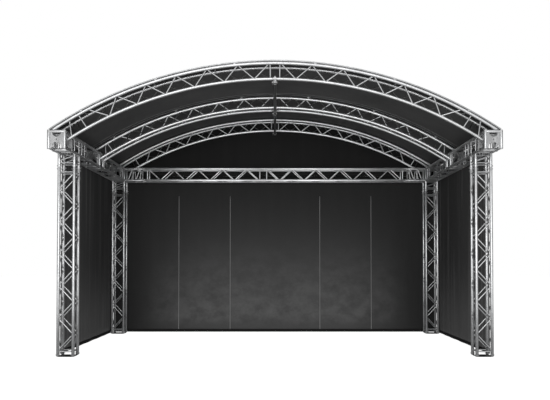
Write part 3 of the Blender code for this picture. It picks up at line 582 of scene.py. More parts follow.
def towards(origin, along_z):
    """Frame at a point with its Z along this direction."""
    return axes_matrix(origin, along_z.orthogonal(), along_z)


def stretch(x, y, z):
    return Matrix.Diagonal((x, y, z, 1.0))


def rod(bm, start, end, diameter, sides, top_share=1.0):
    """Round bar from start to end; its far end has top_share of the diameter."""
    start = Vector(start)
    end = Vector(end)
    matrix = towards((start + end) / 2, end - start)
    bmesh.ops.create_cone(bm, cap_ends=True, segments=sides, radius1=diameter / 2,
                          radius2=diameter / 2 * top_share, depth=(end - start).length,
                          matrix=matrix)


def soften(bm, width, angle=60):
    """Round every edge of a shape that is sharper than the angle."""
    limit = math.radians(angle)
    sharp = [edge for edge in bm.edges if edge.is_manifold and edge.calc_face_angle() > limit]
    bmesh.ops.bevel(bm, geom=sharp, offset=width, segments=2, profile=0.5, affect="EDGES",
                    material=-1, clamp_overlap=True)


def box_shape(low, high):
    """Plain box between two opposite corners, as a bmesh of its own."""
    bm = bmesh.new()
    matrix = Matrix.Translation((low + high) / 2) @ stretch(*(high - low))
    bmesh.ops.create_cube(bm, size=1.0, matrix=matrix)
    return bm


def block(low, high, rim):
    """Block with rounded edges, as a bmesh of its own."""
    bm = box_shape(Vector(low), Vector(high))
    soften(bm, rim)
    return bm


def flat_grid(columns, rows, matrix=Matrix.Identity(4)):
    """Flat sheet one metre square round the origin, as a bmesh of its own."""
    bm = bmesh.new()
    bmesh.ops.create_grid(bm, x_segments=columns, y_segments=rows, size=0.5, matrix=matrix)
    return bm


def everything(bm):
    return bm.verts[:] + bm.edges[:] + bm.faces[:]


def merge(bm, other, matrix=None):
    """Pour one bmesh into another."""
    mesh = bpy.data.meshes.new("poured")
    bmesh.ops.recalc_face_normals(other, faces=other.faces)
    other.to_mesh(mesh)
    other.free()
    if matrix is not None:
        mesh.transform(matrix)
    bm.from_mesh(mesh)
    bpy.data.meshes.remove(mesh)


def ring(major, minor, around, section, hugs=0.0):
    """Ring round local Z. Where hugs is given, it follows a tube of that radius along local X."""
    bm = bmesh.new()
    upright = Matrix.Translation((major, 0, 0)) @ Matrix.Rotation(math.pi / 2, 4, "X")
    bmesh.ops.create_circle(bm, segments=section, radius=minor, matrix=upright)
    bmesh.ops.spin(bm, geom=bm.edges[:], cent=(0, 0, 0), axis=(0, 0, 1), angle=FULL_TURN,
                   steps=around, use_merge=True)
    if hugs:
        for vert in bm.verts:
            vert.co.z -= hugs - math.sqrt(max(0.0, hugs ** 2 - vert.co.y ** 2))
    return bm


def round_tube(length):
    """Main tube along local Z from 0, its two rims rounded."""
    bm = bmesh.new()
    rod(bm, (0, 0, 0), (0, 0, length), CHORD_D, CHORD_SIDES)
    soften(bm, CHORD_RIM)
    return bm


def locking_pin():
    """Pin through a tube end and its socket: head at +Z, spring clip at the other end."""
    bm = bmesh.new()
    half = PIN_L / 2
    rod(bm, (0, 0, -half - 2 * PIN_HEAD_T), (0, 0, half), 0.8 * PIN_D, 8, 1.25)
    head = bmesh.new()
    rod(head, (0, 0, half), (0, 0, half + PIN_HEAD_T), PIN_HEAD_D, 12, 0.8)
    merge(bm, head)
    clip_at = Matrix.Translation((0, CLIP_R - PIN_D / 4, -half - PIN_HEAD_T))
    merge(bm, ring(CLIP_R, CLIP_WIRE, 10, 4), clip_at)
    return bm


def unit_brace(shade):
    """Brace one metre long, to be stretched; shade 1 darkens it with painted shade."""
    bm = bmesh.new()
    rod(bm, (0, 0, 0), (0, 0, 1), BRACE_D, BRACE_SIDES)
    return template(bm, 0.0, shade)


BEAD = template(ring(BRACE_D / 2 + BEAD_R / 4, BEAD_R, 12, 4, CHORD_R), 1.0)
TUBE_BEAD = template(ring(CHORD_R + BEAD_R / 4, BEAD_R * 1.2, 20, 4, CHORD_R), 1.0)
SOCKET_BEAD = template(ring(CHORD_R, BEAD_R * 0.6, 16, 4), 1.0)
PIN = template(locking_pin())
UNIT_BRACE = unit_brace(0.0)
SHADED_BACK_BRACE = unit_brace(1.0)


def add_chord(bm, start, end):
    """Main tube with its ends rounded."""
    along = end - start
    merge(bm, round_tube(along.length), towards(start, along))


def add_bead(bm, centre, run, leaving):
    """Weld bead where a brace that leaves in this direction meets a main tube along run."""
    run = run.normalized()
    leaving = leaving.normalized()
    outwards = leaving - run * leaving.dot(run)
    slope = outwards.length
    at = centre + leaving * (CHORD_R / slope)
    add(bm, BEAD, axes_matrix(at, run, outwards) @ stretch(1 / slope, 1, 1))


def add_brace(bm, start, end, run_start, run_end=None, brace=UNIT_BRACE):
    """Brace between the centre lines of two main tubes, welded to both."""
    along = (end - start).normalized()
    first = start + along * BRACE_INSET
    last = end - along * BRACE_INSET
    add(bm, brace, towards(first, along) @ stretch(1, 1, (last - first).length))
    add_bead(bm, start, run_start, along)
    add_bead(bm, end, run_end or run_start, -along)


def add_socket(bm, end, inwards, pin_towards):
    """What shows of the socket in a tube end: its weld, and the pin that locks the next piece."""
    add(bm, SOCKET_BEAD, towards(end + inwards * SOCKET_RING, inwards))
    add(bm, PIN, axes_matrix(end + inwards * PIN_FROM_END, inwards, pin_towards))


def box_truss(length, foot_bar=END_BAR):
    """Box truss along local Z, from 0 to its length, with pins at both ends."""
    bm = bmesh.new()
    corners = [Vector((x, y, 0)) * HALF_PITCH for x, y in SECTION]
    for corner in corners:
        add_chord(bm, corner, corner + UP * length)
        sideways = X_AXIS * math.copysign(1, corner.x)
        add_socket(bm, corner, UP, sideways)
        add_socket(bm, corner + UP * length, -UP, sideways)
    head_bar = length - END_BAR
    first = foot_bar + BAR_GAP
    last = head_bar - BAR_GAP
    count = max(1, round((last - first) / ZIGZAG_STEP))
    step = (last - first) / count
    for face in range(4):
        a = corners[face]
        b = corners[(face + 1) % 4]
        if face >= 2:
            a, b = b, a
        for level in (foot_bar, head_bar):
            add_brace(bm, a + UP * level, b + UP * level, UP)
        for index in range(count):
            low, high = (a, b) if index % 2 == 0 else (b, a)
            start = low + UP * (first + step * index)
            add_brace(bm, start, high + UP * (first + step * (index + 1)), UP)
    return bm


def swept_arc(bm, centre, start, turn, angle, steps):
    """Arc in local XZ that starts at a height on the middle line. Returns its two end points."""
    first = bm.verts.new((0, 0, start))
    swept = bmesh.ops.spin(bm, geom=[first], cent=(0, 0, centre), axis=(0, turn, 0), angle=angle,
                           steps=steps)
    return first, swept["geom_last"][0]


def notched_plate():
    """Plate in local XZ with a round notch above and below and a hole in the middle.
    One half is drawn from three spun arcs, given its thickness and mirrored."""
    half = HALF_PITCH
    bm = bmesh.new()
    hole, hole_end = swept_arc(bm, 0, PLATE_HOLE_R, 1, math.pi, 12)
    angle = math.acos((UPPER_NOTCH_Z - half) / UPPER_NOTCH_R)
    upper, upper_end = swept_arc(bm, UPPER_NOTCH_Z, UPPER_NOTCH_Z - UPPER_NOTCH_R, -1, angle, 14)
    angle = math.acos((-PLATE_FOOT - LOWER_NOTCH_Z) / LOWER_NOTCH_R)
    lower, lower_end = swept_arc(bm, LOWER_NOTCH_Z, LOWER_NOTCH_Z + LOWER_NOTCH_R, 1, angle, 16)
    tip = bm.verts.new((half, 0, half))
    foot = bm.verts.new((half, 0, -PLATE_FOOT))
    for ends in ((hole, upper), (hole_end, lower), (upper_end, tip), (tip, foot),
                 (foot, lower_end)):
        bm.edges.new(ends)
    bmesh.ops.contextual_create(bm, geom=bm.edges[:])
    grown = bmesh.ops.extrude_face_region(bm, geom=bm.faces[:])
    lifted = [item for item in grown["geom"] if isinstance(item, bmesh.types.BMVert)]
    bmesh.ops.translate(bm, vec=(0, PLATE_SHEET, 0), verts=lifted)
    bmesh.ops.translate(bm, vec=(0, -PLATE_SHEET / 2, 0), verts=bm.verts)
    inner = [face for face in bm.faces if all(abs(vert.co.x) < 1e-6 for vert in face.verts)]
    bmesh.ops.delete(bm, geom=inner, context="FACES_ONLY")
    bmesh.ops.mirror(bm, geom=everything(bm), matrix=Matrix.Identity(4), merge_dist=1e-5, axis="X")
    bmesh.ops.remove_doubles(bm, verts=bm.verts, dist=1e-5)
    bmesh.ops.recalc_face_normals(bm, faces=bm.faces)
    soften(bm, PLATE_RIM)
    return bm


def add_tube_weld(bm, centre, post, along):
    """Saddle-shaped weld where a main tube that runs along `along` meets a post."""
    along = along.normalized()
    add(bm, TUBE_BEAD, axes_matrix(centre + along * CHORD_R, post.normalized(), along))


def add_square_frame(bm, centre, along, beside, start, end, corners=SECTION):
    """Main tubes that run along one axis at the corners of a square section."""
    third = along.cross(beside)
    for first, second in corners:
        base = centre + beside * (first * HALF_PITCH) + third * (second * HALF_PITCH)
        add_chord(bm, base + along * start, base + along * end)


def add_corner_cube(bm, centre, across_corners=SECTION):
    """Four posts, with a ring of tubes welded between them at the top and at the bottom.
    Of the tubes along X, those at the named corners of the section are there."""
    add_square_frame(bm, centre, UP, X_AXIS, -BOX / 2, BOX / 2)
    for along, beside, corners in ((X_AXIS, Y_AXIS, across_corners), (Y_AXIS, -X_AXIS, SECTION)):
        add_square_frame(bm, centre, along, beside, -HALF_PITCH, HALF_PITCH, corners)
        for first, second in corners:
            base = centre + beside * (first * HALF_PITCH) + UP * (second * HALF_PITCH)
            for way in (-1, 1):
                add_tube_weld(bm, base - along * (way * HALF_PITCH), UP, along * way)


def one_bay(length):
    """The single bay of a short arm: start and end of its diagonals and the place of its bars."""
    bar = length - END_BAR
    return [(ARM_NEAR_GAP, bar - ARM_FAR_GAP, bar)]


def add_arm(bm, centre, along, length, beside, pin_towards, bays=None):
    """Arm's pins and lattice: a cross-bar and a diagonal in each bay of its four faces."""
    third = along.cross(beside)
    corners = [centre + along * (BOX / 2) + beside * (b * HALF_PITCH) + third * (c * HALF_PITCH)
               for b, c in SECTION]
    for face in range(4):
        a = corners[face]
        b = corners[(face + 1) % 4]
        outwards = pin_towards * math.copysign(1, (a - centre).dot(pin_towards))
        add_socket(bm, a + along * length, -along, outwards)
        if face < 2:
            a, b = b, a
        for start, end, bar in bays or one_bay(length):
            add_brace(bm, a + along * bar, b + along * bar, along)
            add_brace(bm, a + along * start, b + along * end, along)


def add_box_bars(bm, centre, axis, other):
    """Cross-bars round the box of a tee or corner, between the tubes that run along the axis."""
    third = axis.cross(other)
    for end in (-HALF_PITCH, HALF_PITCH):
        for side in (-HALF_PITCH, HALF_PITCH):
            at = centre + axis * end + other * side
            add_brace(bm, at - third * HALF_PITCH, at + third * HALF_PITCH, axis)


def build_front_corner(side, word):
    centre = Vector((side * TOWER_X, FRONT_Y, BOX_MIDDLE))
    bm = bmesh.new()
    add_corner_cube(bm, centre, SECTION[1:])
    node = f"box_corner_front_{word}"
    stand(f"box_frame_front_{word}", bm, TUBE, instead_of=[node])
    offset = BOX / 2 - PLATE_SET_BACK - PLATE_SHEET / 2
    plates = bmesh.new()
    merge(plates, notched_plate(), Matrix.Translation(centre - Y_AXIS * offset))
    quarter = Matrix.Rotation(math.pi / 2, 4, "Z")
    merge(plates, notched_plate(), Matrix.Translation(centre - X_AXIS * (side * offset)) @ quarter)
    stand(f"face_plates_{word}", plates, SHEET, instead_of=[node])


def build_mid_box(side, word):
    centre = Vector((side * TOWER_X, MID_Y, BOX_MIDDLE))
    bm = bmesh.new()
    add_corner_cube(bm, centre)
    for x in (-HALF_PITCH, HALF_PITCH):
        add_brace(bm, centre + Vector((x, -HALF_PITCH, -HALF_PITCH)),
                  centre + Vector((x, HALF_PITCH, HALF_PITCH)), Y_AXIS)
    node = f"box_mid_{word}"
    stand(f"box_frame_mid_{word}", bm, TUBE, instead_of=[node])
    corner = Vector((HALF_PITCH, HALF_PITCH, 0))
    top = Vector((0, 0, BOX / 2))
    plate = block(centre - corner + top - UP * PLATE_SHEET, centre + corner + top, PLATE_RIM)
    stand(f"top_plate_mid_{word}", plate, SHEET, instead_of=[node])


def build_tee(side, word):
    centre = Vector((side * TOWER_X, TOWER_FRONT_Y, BOX_MIDDLE))
    bm = bmesh.new()
    add_square_frame(bm, centre, Y_AXIS, X_AXIS, -TEE_LENGTH / 2, TEE_LENGTH / 2)
    add_square_frame(bm, centre, -UP, X_AXIS, HALF_PITCH, BOX / 2 + LEG_LENGTH)
    for x, y in SECTION:
        foot = centre + Vector((x * HALF_PITCH, y * HALF_PITCH, -HALF_PITCH))
        add_tube_weld(bm, foot, Y_AXIS, -UP)
    add_box_bars(bm, centre, Y_AXIS, X_AXIS)
    add_box_bars(bm, centre, Y_AXIS, UP)
    add_arm(bm, centre, -UP, LEG_LENGTH, X_AXIS, X_AXIS)
    arm = TEE_LENGTH / 2 - BOX / 2
    for way in (Y_AXIS, -Y_AXIS):
        add_arm(bm, centre, way, arm, X_AXIS, X_AXIS)
    stand(f"tee_frame_{word}", bm, TUBE, instead_of=[f"tee_front_{word}"])


def build_rear_corner(side, word):
    centre = Vector((side * TOWER_X, REAR_Y, BOX_MIDDLE))
    inwards = X_AXIS * -side
    bm = bmesh.new()
    add_square_frame(bm, centre, UP, X_AXIS, -BOX / 2 - LEG_LENGTH, BOX / 2)
    add_square_frame(bm, centre, inwards, Y_AXIS, -HALF_PITCH, BOX / 2 + CORNER_ARM_X)
    add_square_frame(bm, centre, -Y_AXIS, X_AXIS, -HALF_PITCH, BOX / 2 + CORNER_ARM_Y)
    for first, second in SECTION:
        for along, beside in ((inwards, Y_AXIS), (-Y_AXIS, X_AXIS)):
            post = centre + along * HALF_PITCH + beside * (first * HALF_PITCH)
            add_tube_weld(bm, post + UP * (second * HALF_PITCH), UP, along)
        foot = centre + Vector((first * HALF_PITCH, second * HALF_PITCH, -HALF_PITCH))
        add_tube_weld(bm, foot, Y_AXIS, -UP)
    add_arm(bm, centre, -UP, LEG_LENGTH, X_AXIS, X_AXIS)
    end_bar = CORNER_ARM_X - END_BAR
    bays = [(ARM_STEEP_GAP, ARM_MIDDLE_BAR - BAR_GAP, ARM_MIDDLE_BAR),
            (ARM_MIDDLE_BAR + ARM_STEEP_GAP, end_bar - BAR_GAP, end_bar)]
    add_arm(bm, centre, inwards, CORNER_ARM_X, Y_AXIS * side, Y_AXIS, bays)
    add_arm(bm, centre, -Y_AXIS, CORNER_ARM_Y, X_AXIS, X_AXIS)
    foot = centre + inwards * (TOWER_X - REAR_FOOT_X) + UP * HALF_PITCH
    add_chord(bm, foot - Y_AXIS * HALF_PITCH, foot + Y_AXIS * HALF_PITCH)
    for way in (-1, 1):
        add_tube_weld(bm, foot - Y_AXIS * (way * HALF_PITCH), X_AXIS, Y_AXIS * way)
    stand(f"corner_frame_rear_{word}", bm, TUBE,
          instead_of=[f"corner_rear_{word}"])


def lay_truss(name, node, finish, length, matrix, foot_bar=END_BAR):
    bm = box_truss(length, foot_bar)
    bmesh.ops.transform(bm, matrix=matrix, verts=bm.verts)
    stand(name, bm, finish, instead_of=[node])


def build_straight_trusses():
    for depth in ("front", "rear"):
        for word in ("left", "right"):
            node = f"tower_{depth}_{word}"
            low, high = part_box(node)
            middle = (low + high) / 2
            turn = Matrix.Rotation(0.0 if word == "left" else math.pi, 4, "Z")
            at = Matrix.Translation((middle.x, middle.y, low.z))
            lay_truss(f"truss_{node}", node, TOWER_TUBE, high.z - low.z, at @ turn, TOWER_FOOT_BAR)
            node = f"eave_{depth}_{word}"
            low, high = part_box(node)
            at = Matrix.Translation(((low.x + high.x) / 2, low.y, BOX_MIDDLE))
            turn = Matrix.Rotation(-math.pi / 2, 4, "X")
            lay_truss(f"truss_{node}", node, TUBE, high.y - low.y, at @ turn)
    for word in ("left", "right"):
        node = f"rear_truss_{word}"
        low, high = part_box(node)
        at = Matrix.Translation((low.x, REAR_Y, BOX_MIDDLE))
        turn = Matrix.Rotation(-math.pi / 2, 4, "Z") @ Matrix.Rotation(-math.pi / 2, 4, "X")
        lay_truss(f"truss_{node}", node, PAINTED_LIGHT_TUBE, high.x - low.x, at @ turn)


def arc_point(radius, angle, y):
    return Vector((radius * math.sin(angle), y, ARCH_CENTRE_Z + radius * math.cos(angle)))


def arc_run(angle):
    """Direction of a bent tube at an angle from the crown."""
    return Vector((math.cos(angle), 0, -math.sin(angle)))


def trim(bm, point, normal):
    """Cut away what lies on the normal's side of a plane, and close the cut."""
    bmesh.ops.bisect_plane(bm, geom=everything(bm), dist=1e-6, plane_co=point, plane_no=normal,
                           clear_outer=True)
    close_ends(bm)


def close_ends(bm):
    edges = [edge for edge in bm.edges if edge.is_boundary]
    bmesh.ops.holes_fill(bm, edges=edges, sides=0)


def bent_tube(radius, y, first, last):
    """Main tube bent about the arch's centre."""
    bm = bmesh.new()
    turn = Matrix.Rotation(first + math.pi / 2, 4, "Y")
    upright = Matrix.Translation(arc_point(radius, first, y)) @ turn
    bmesh.ops.create_circle(bm, segments=CHORD_SIDES, radius=CHORD_R, matrix=upright)
    bmesh.ops.spin(bm, geom=bm.edges[:], cent=(0, y, ARCH_CENTRE_Z), axis=(0, 1, 0),
                   angle=last - first, steps=ARCH_STEPS)
    close_ends(bm)
    return bm


def add_arch_bar(bm, a, b, angle_a, angle_b, brace=UNIT_BRACE):
    """Brace between two bent tubes, each given by its radius and its Y."""
    start = arc_point(a[0], angle_a, a[1])
    end = arc_point(b[0], angle_b, b[1])
    add_brace(bm, start, end, arc_run(angle_a), arc_run(angle_b), brace)


def arch_half(apex_down, front_node_up, low_tube_end):
    """Right half of an arch of triangular truss, from the crown to the eave, at Y = 0."""
    half = ARCH_SIDE / 2
    if apex_down:
        tubes = {"front": (ARCH_R, -half), "rear": (ARCH_R, half), "apex": (ARCH_LOW_R, 0.0)}
    else:
        tubes = {"front": (ARCH_LOW_R, -half), "rear": (ARCH_LOW_R, half), "apex": (ARCH_R, 0.0)}
    whole = bmesh.new()
    for radius, y in tubes.values():
        bm = bent_tube(radius, y, SEAT / 2 / radius, ARCH_END_ANGLE)
        if radius == ARCH_R or low_tube_end is None:
            trim(bm, (0, 0, BOX_TOP + SEAT), (0, 0, -1))
        else:
            trim(bm, (low_tube_end, 0, 0), (1, 0, 0))
        merge(whole, bm)
        add_socket(whole, arc_point(radius, 0, y), X_AXIS, Y_AXIS * (-1 if y <= 0 else 1))
    span = ARCH_LAST_NODE - ARCH_FIRST_NODE
    nodes = [(ARCH_FIRST_NODE + span * step / ARCH_DIAGONALS) / ARCH_MEAN_R
             for step in range(ARCH_DIAGONALS + 1)]
    crown = END_BAR / ARCH_MEAN_R
    offset = ARCH_NODE_GAP / ARCH_R
    # Painted shade: the braces of one face are drawn darker, the rear face where the apex is down
    # and the front face where it is up.
    near, far = (UNIT_BRACE, SHADED_BACK_BRACE) if apex_down else (SHADED_BACK_BRACE, UNIT_BRACE)
    for name, brace, swap, radial in (
            ("front", near, not front_node_up, ARCH_RADIAL_BAR),
            ("rear", far, front_node_up, ARCH_RADIAL_BAR + ARCH_RADIAL_SHIFT)):
        a, b = tubes[name], tubes["apex"]
        for angle in (crown, radial / ARCH_MEAN_R):
            add_arch_bar(whole, a, b, angle, angle, brace)
        if low_tube_end is not None:
            end = ARCH_FACE_X - ARCH_END_BAR
            add_arch_bar(whole, a, b, math.asin(end / a[0]), math.asin(end / b[0]), brace)
        if swap == apex_down:
            a, b = b, a
        for index in range(ARCH_DIAGONALS):
            first, second = (a, b) if index % 2 == 0 else (b, a)
            add_arch_bar(whole, first, second, nodes[index] + offset, nodes[index + 1] - offset,
                         brace)
    middles = [(nodes[step] + nodes[step + 1]) / 2 for step in ARCH_CROSS_BARS]
    for angle in (crown, *middles, nodes[-1] + crown):
        add_arch_bar(whole, tubes["front"], tubes["rear"], angle, angle)
    return whole


def build_arches():
    on_plate = ARCH_FACE_X + PLATE_SET_BACK - SEAT
    on_post = ARCH_FACE_X - SEAT
    arches = (("front", FRONT_Y, TUBE, True, True, on_plate),
              ("mid", MID_Y, PAINTED_LIGHT_TUBE, False, False, on_post),
              ("rear", REAR_Y, PAINTED_LIGHT_TUBE, True, False, None))
    for depth, y, finish, apex_down, node_up, low_tube_end in arches:
        for side, word in SIDES:
            bm = arch_half(apex_down, node_up, low_tube_end)
            bmesh.ops.translate(bm, vec=(0, y, 0), verts=bm.verts)
            if side == LEFT:
                bmesh.ops.scale(bm, vec=(-1, 1, 1), verts=bm.verts)
                bmesh.ops.reverse_faces(bm, faces=bm.faces)
            stand(f"arch_truss_{depth}_{word}", bm, finish,
                  instead_of=[f"arch_{depth}_{word}"])


def build_base_plates():
    for depth in ("front", "rear"):
        for word in ("left", "right"):
            node = f"base_plate_{depth}_{word}"
            low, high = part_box(node)
            half_thick = (high.z - low.z) / 2
            bm = box_shape(low, high)
            upright = [edge for edge in bm.edges
                       if abs(edge.verts[0].co.z - edge.verts[1].co.z) > half_thick]
            bmesh.ops.bevel(bm, geom=upright, offset=FLOOR_CORNER_R, segments=6, profile=0.5,
                            affect="EDGES", material=-1)
            soften(bm, FLOOR_RIM)
            stand(f"floor_plate_{depth}_{word}", bm, BLACK, instead_of=[node])


def build_rails():
    """Keder rails: an extrusion with a groove in each side, on screwed clips."""
    half = ARCH_SIDE / 2
    outline = [(RAIL_W / 2, RAIL_H / 2), (RAIL_W / 2, RAIL_SLOT / 2),
               (RAIL_W / 4, RAIL_SLOT / 2), (RAIL_W / 4, -RAIL_SLOT / 2),
               (RAIL_W / 2, -RAIL_SLOT / 2), (RAIL_W / 2, -RAIL_H / 2)]
    outline += [(-across, -up) for across, up in outline]
    for depth, y, radius in (("front", FRONT_Y - half, RAIL_R),
                             ("mid", MID_Y, RAIL_R + MID_RAIL_RAISE),
                             ("rear", REAR_Y + half, RAIL_R)):
        centre = (0, y, ARCH_CENTRE_Z)
        bm = bmesh.new()
        bm.faces.new([bm.verts.new((0, y + across, ARCH_CENTRE_Z + radius + up))
                      for across, up in outline])
        bmesh.ops.rotate(bm, cent=centre, matrix=Matrix.Rotation(-RAIL_END_ANGLE, 3, "Y"),
                         verts=bm.verts)
        bmesh.ops.spin(bm, geom=everything(bm), cent=centre, axis=(0, 1, 0),
                       angle=2 * RAIL_END_ANGLE, steps=RAIL_STEPS)
        bmesh.ops.recalc_face_normals(bm, faces=bm.faces)
        clip_low = (-RAIL_CLIP_L / 2, -RAIL_CLIP_W / 2, ARCH_R + CHORD_R - CLIP_SUNK)
        clip_high = (RAIL_CLIP_L / 2, RAIL_CLIP_W / 2, radius)
        for share in (*(-share for share in RAIL_CLIP_SHARES), *RAIL_CLIP_SHARES):
            turn = Matrix.Rotation(ARCH_END_ANGLE * share, 4, "Y")
            merge(bm, block(clip_low, clip_high, RAIL_CLIP_RIM), Matrix.Translation(centre) @ turn)
        stand(f"keder_extrusion_{depth}", bm, RAIL,
              instead_of=[f"keder_rail_{depth}"], crease=30)


def measured(bm, flat):
    """Give a sheet a map of its own flat measure: flat turns a point into metres both ways."""
    layer = bm.loops.layers.uv.new("flat")
    for face in bm.faces:
        for loop in face.loops:
            loop[layer].uv = flat(loop.vert.co)


def stand_cloth(name, bm, finish, thickness=TAPE_T, instead_of=()):
    """Stand a sheet, a tape or a hem, its thickness shared between its two faces."""
    piece = stand(name, bm, finish, instead_of=instead_of)
    skin = piece.modifiers.new("thickness", "SOLIDIFY")
    skin.thickness = thickness
    skin.offset = 0.0
    return piece


def canopy(name, node, front, rear):
    """Roof sheet from keder rail to keder rail, drawn tight, with a shallow sag between the arches.
    Each edge says where it lies, how far in from it there is no sag, and how far it is raised."""
    y_front, flat_front, raise_front = front
    y_rear, flat_rear, raise_rear = rear
    width = 2 * RAIL_END_ANGLE * RAIL_R
    length = y_rear - y_front

    def shape(across, along):
        share = (along - flat_front) / (length - flat_front - flat_rear)
        sag = 0.0
        if 0 < share < 1:
            short_wave = math.sin(across * SHORT_WAVE)
            long_wave = math.cos(across * LONG_WAVE + 1)
            sag = CANOPY_SAG * math.sin(math.pi * share) * (1 - 4 * across ** 2)
            sag += CANOPY_RIPPLE * math.sin(math.pi * share) ** 2 * short_wave * long_wave
        raised = raise_front + (raise_rear - raise_front) * along / length
        return arc_point(RAIL_R + raised - sag, across * 2 * RAIL_END_ANGLE, y_front + along)

    bm = flat_grid(*CANOPY_GRID)
    measured(bm, lambda point: (point.x * width, point.y * length))
    for vert in bm.verts:
        vert.co = shape(vert.co.x, (vert.co.y + 0.5) * length)
    bm.normal_update()
    piece = stand_cloth(name, bm, ROOF_CLOTH, CLOTH_T, [node])
    for word, along in (("front", CANOPY_SEAM), ("rear", length - CANOPY_SEAM)):
        bm = flat_grid(CANOPY_GRID[0], 1)
        for vert in bm.verts:
            vert.co = shape(vert.co.x, along + vert.co.y * CANOPY_SEAM_W)
        stand_cloth(f"{name}_seam_{word}", bm, TAPE)


def strip(shape, across, up, rows):
    """Strip of tape or hem that follows a wall's shape, between two levels across and two up."""
    bm = flat_grid(max(1, round((across[1] - across[0]) / STRIP_STEP)), rows)
    for vert in bm.verts:
        vert.co = shape(across[0] + (vert.co.x + 0.5) * (across[1] - across[0]),
                        up[0] + (vert.co.y + 0.5) * (up[1] - up[0]))
    return bm


def hang_wall(word, finish, size, columns, shape, seams):
    """Hanging wall with tape over its panel seams, and a hem. shape takes metres across and up
    from the middle of the hem, and gives the point."""
    width, low, high = size
    seam_finish, seam_middles, seam_drop = seams

    def flat(point):
        return point.x * width, low + (point.y + 0.5) * (high - low)

    bm = flat_grid(columns, WALL_ROWS)
    measured(bm, flat)
    for vert in bm.verts:
        vert.co = shape(*flat(vert.co))
    piece = stand_cloth(f"canvas_wall_{word}", bm, finish, CLOTH_T, [f"wall_{word}"])
    for index, middle in enumerate(seam_middles):
        across = (middle - SEAM_W / 2, middle + SEAM_W / 2)
        bm = strip(shape, across, (low + HEM, high - seam_drop), WALL_ROWS)
        stand_cloth(f"seam_{word}_{index + 1}", bm, seam_finish)
    bm = strip(shape, (-width / 2, width / 2), (low, low + HEM), HEM_ROWS)
    stand_cloth(f"hem_{word}", bm, GABLE_CLOTH)


def fold_depth(share, height_share, folds, depth, phase):
    """How far a hanging fold swings out; folds of unlike width, deeper towards the hem."""
    swing = 0.5 - 0.5 * math.cos(FULL_TURN * folds * share + phase)
    second = 0.5 - 0.5 * math.cos(FULL_TURN * folds * 0.618 * share + 2.1 * phase)
    return depth * (0.65 * swing + 0.35 * second) * (1.0 - 0.7 * height_share)


def build_walls():
    split = BOX_TOP - GABLE_SPLIT
    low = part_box("wall_rear")[0].z

    def rear(across, up):
        share = across / WIDTH + 0.5
        depth = fold_depth(share, (up - low) / (split - low), *REAR_FOLDS)
        return Vector((across, BACK_Y + WALL_CLEAR + depth, up))

    hang_wall("rear", REAR_CLOTH, (WIDTH, low, split), REAR_COLUMNS, rear,
              (TAPE, REAR_SEAMS, REAR_SEAM_DROP))
    front_edge = TOWER_FRONT_Y + HALF_PITCH
    run = REAR_Y + BOX / 2 - front_edge
    top = BOX_TOP + WALL_OVER_TUBE
    seams = [TOWER_FRONT_Y + back - front_edge - run / 2 for back in SIDE_SEAMS]
    for side, word in SIDES:

        def beside(across, up, side=side):
            share = across / run + 0.5
            depth = fold_depth(share, (up - low) / (top - low), *SIDE_FOLDS)
            out = side * (WIDTH / 2 + WALL_CLEAR + depth)
            return Vector((out, front_edge + run / 2 + across, up))

        hang_wall(word, SIDE_CLOTH, (run, low, top), SIDE_COLUMNS, beside,
                  (SIDE_CLOTH, seams, SIDE_SEAM_DROP))


def build_gable():
    """Gable from the rear keder rail down to the rear truss."""
    radius = RAIL_R + RAIL_H / 2
    split = BOX_TOP - GABLE_SPLIT

    def level(across, share):
        reach = min(abs(across), radius * math.sin(RAIL_END_ANGLE))
        top = ARCH_CENTRE_Z + math.sqrt(radius ** 2 - reach ** 2)
        past = abs(across) - reach
        if past > 0:
            top -= past * (BOX_TOP - split) / max(1e-6, WIDTH / 2 - reach)
        return split + SEAT + share * (top - split - SEAT)

    bm = flat_grid(GABLE_COLUMNS, WALL_ROWS)
    for vert in bm.verts:
        across = vert.co.x * WIDTH
        share = vert.co.y + 0.5
        swing = 0.5 - 0.5 * math.cos(FULL_TURN * GABLE_FOLDS * across / WIDTH)
        ripple = GABLE_FOLD_DEPTH * swing * (1 - share)
        vert.co = Vector((across, BACK_Y + WALL_CLEAR + ripple, level(across, share)))
    measured(bm, lambda point: (point.x, point.z))
    area = sum(face.calc_area() for face in bm.faces)
    piece = stand_cloth("canvas_gable", bm, GABLE_CLOTH, CLOTH_T, ["gable_rear"])
    ARCH_CENTRE_Z + radius - split


def build_canopies():
    edge = RAIL_W / 2 - EDGE_IN_RAIL
    front = FRONT_Y - ARCH_SIDE / 2
    rear = REAR_Y + ARCH_SIDE / 2
    canopy("canvas_roof_front", "canopy_front", (front + edge, ARCH_SIDE, 0.0),
           (MID_Y - edge, 0.0, MID_RAIL_RAISE))
    canopy("canvas_roof_rear", "canopy_rear", (MID_Y + edge, 0.0, MID_RAIL_RAISE),
           (rear - edge, ARCH_SIDE, 0.0))


def half_ring(inner, outer, width, rim):
    """Half of a clamp's ring round local X, above Z = 0."""
    section = Matrix.Translation((0, (inner + outer) / 2, 0)) @ stretch(width, outer - inner, 1.0)
    bm = flat_grid(1, 1, section)
    bmesh.ops.spin(bm, geom=everything(bm), cent=(0, 0, 0), axis=(1, 0, 0), angle=math.pi,
                   steps=CLAMP_STEPS)
    bmesh.ops.recalc_face_normals(bm, faces=bm.faces)
    soften(bm, rim)
    return bm


def clamp_sizes(tube_d):
    """From the tube's centre to the outside of the ring, and to the middle of the swing bolt."""
    reach = tube_d / 2 + CLAMP_WALL
    bolt = reach + NUT_GAP + NUT_AF / 2 / math.cos(math.pi / 6)
    return reach, bolt


HEAD_DROP = HINGE_D / 2 / math.cos(math.pi / 6) + SEAT + EAR_WALL
NUT_SEAT = math.hypot(LUG_PAST_BOLT, LUG_H + HEAD_DROP) + SEAT


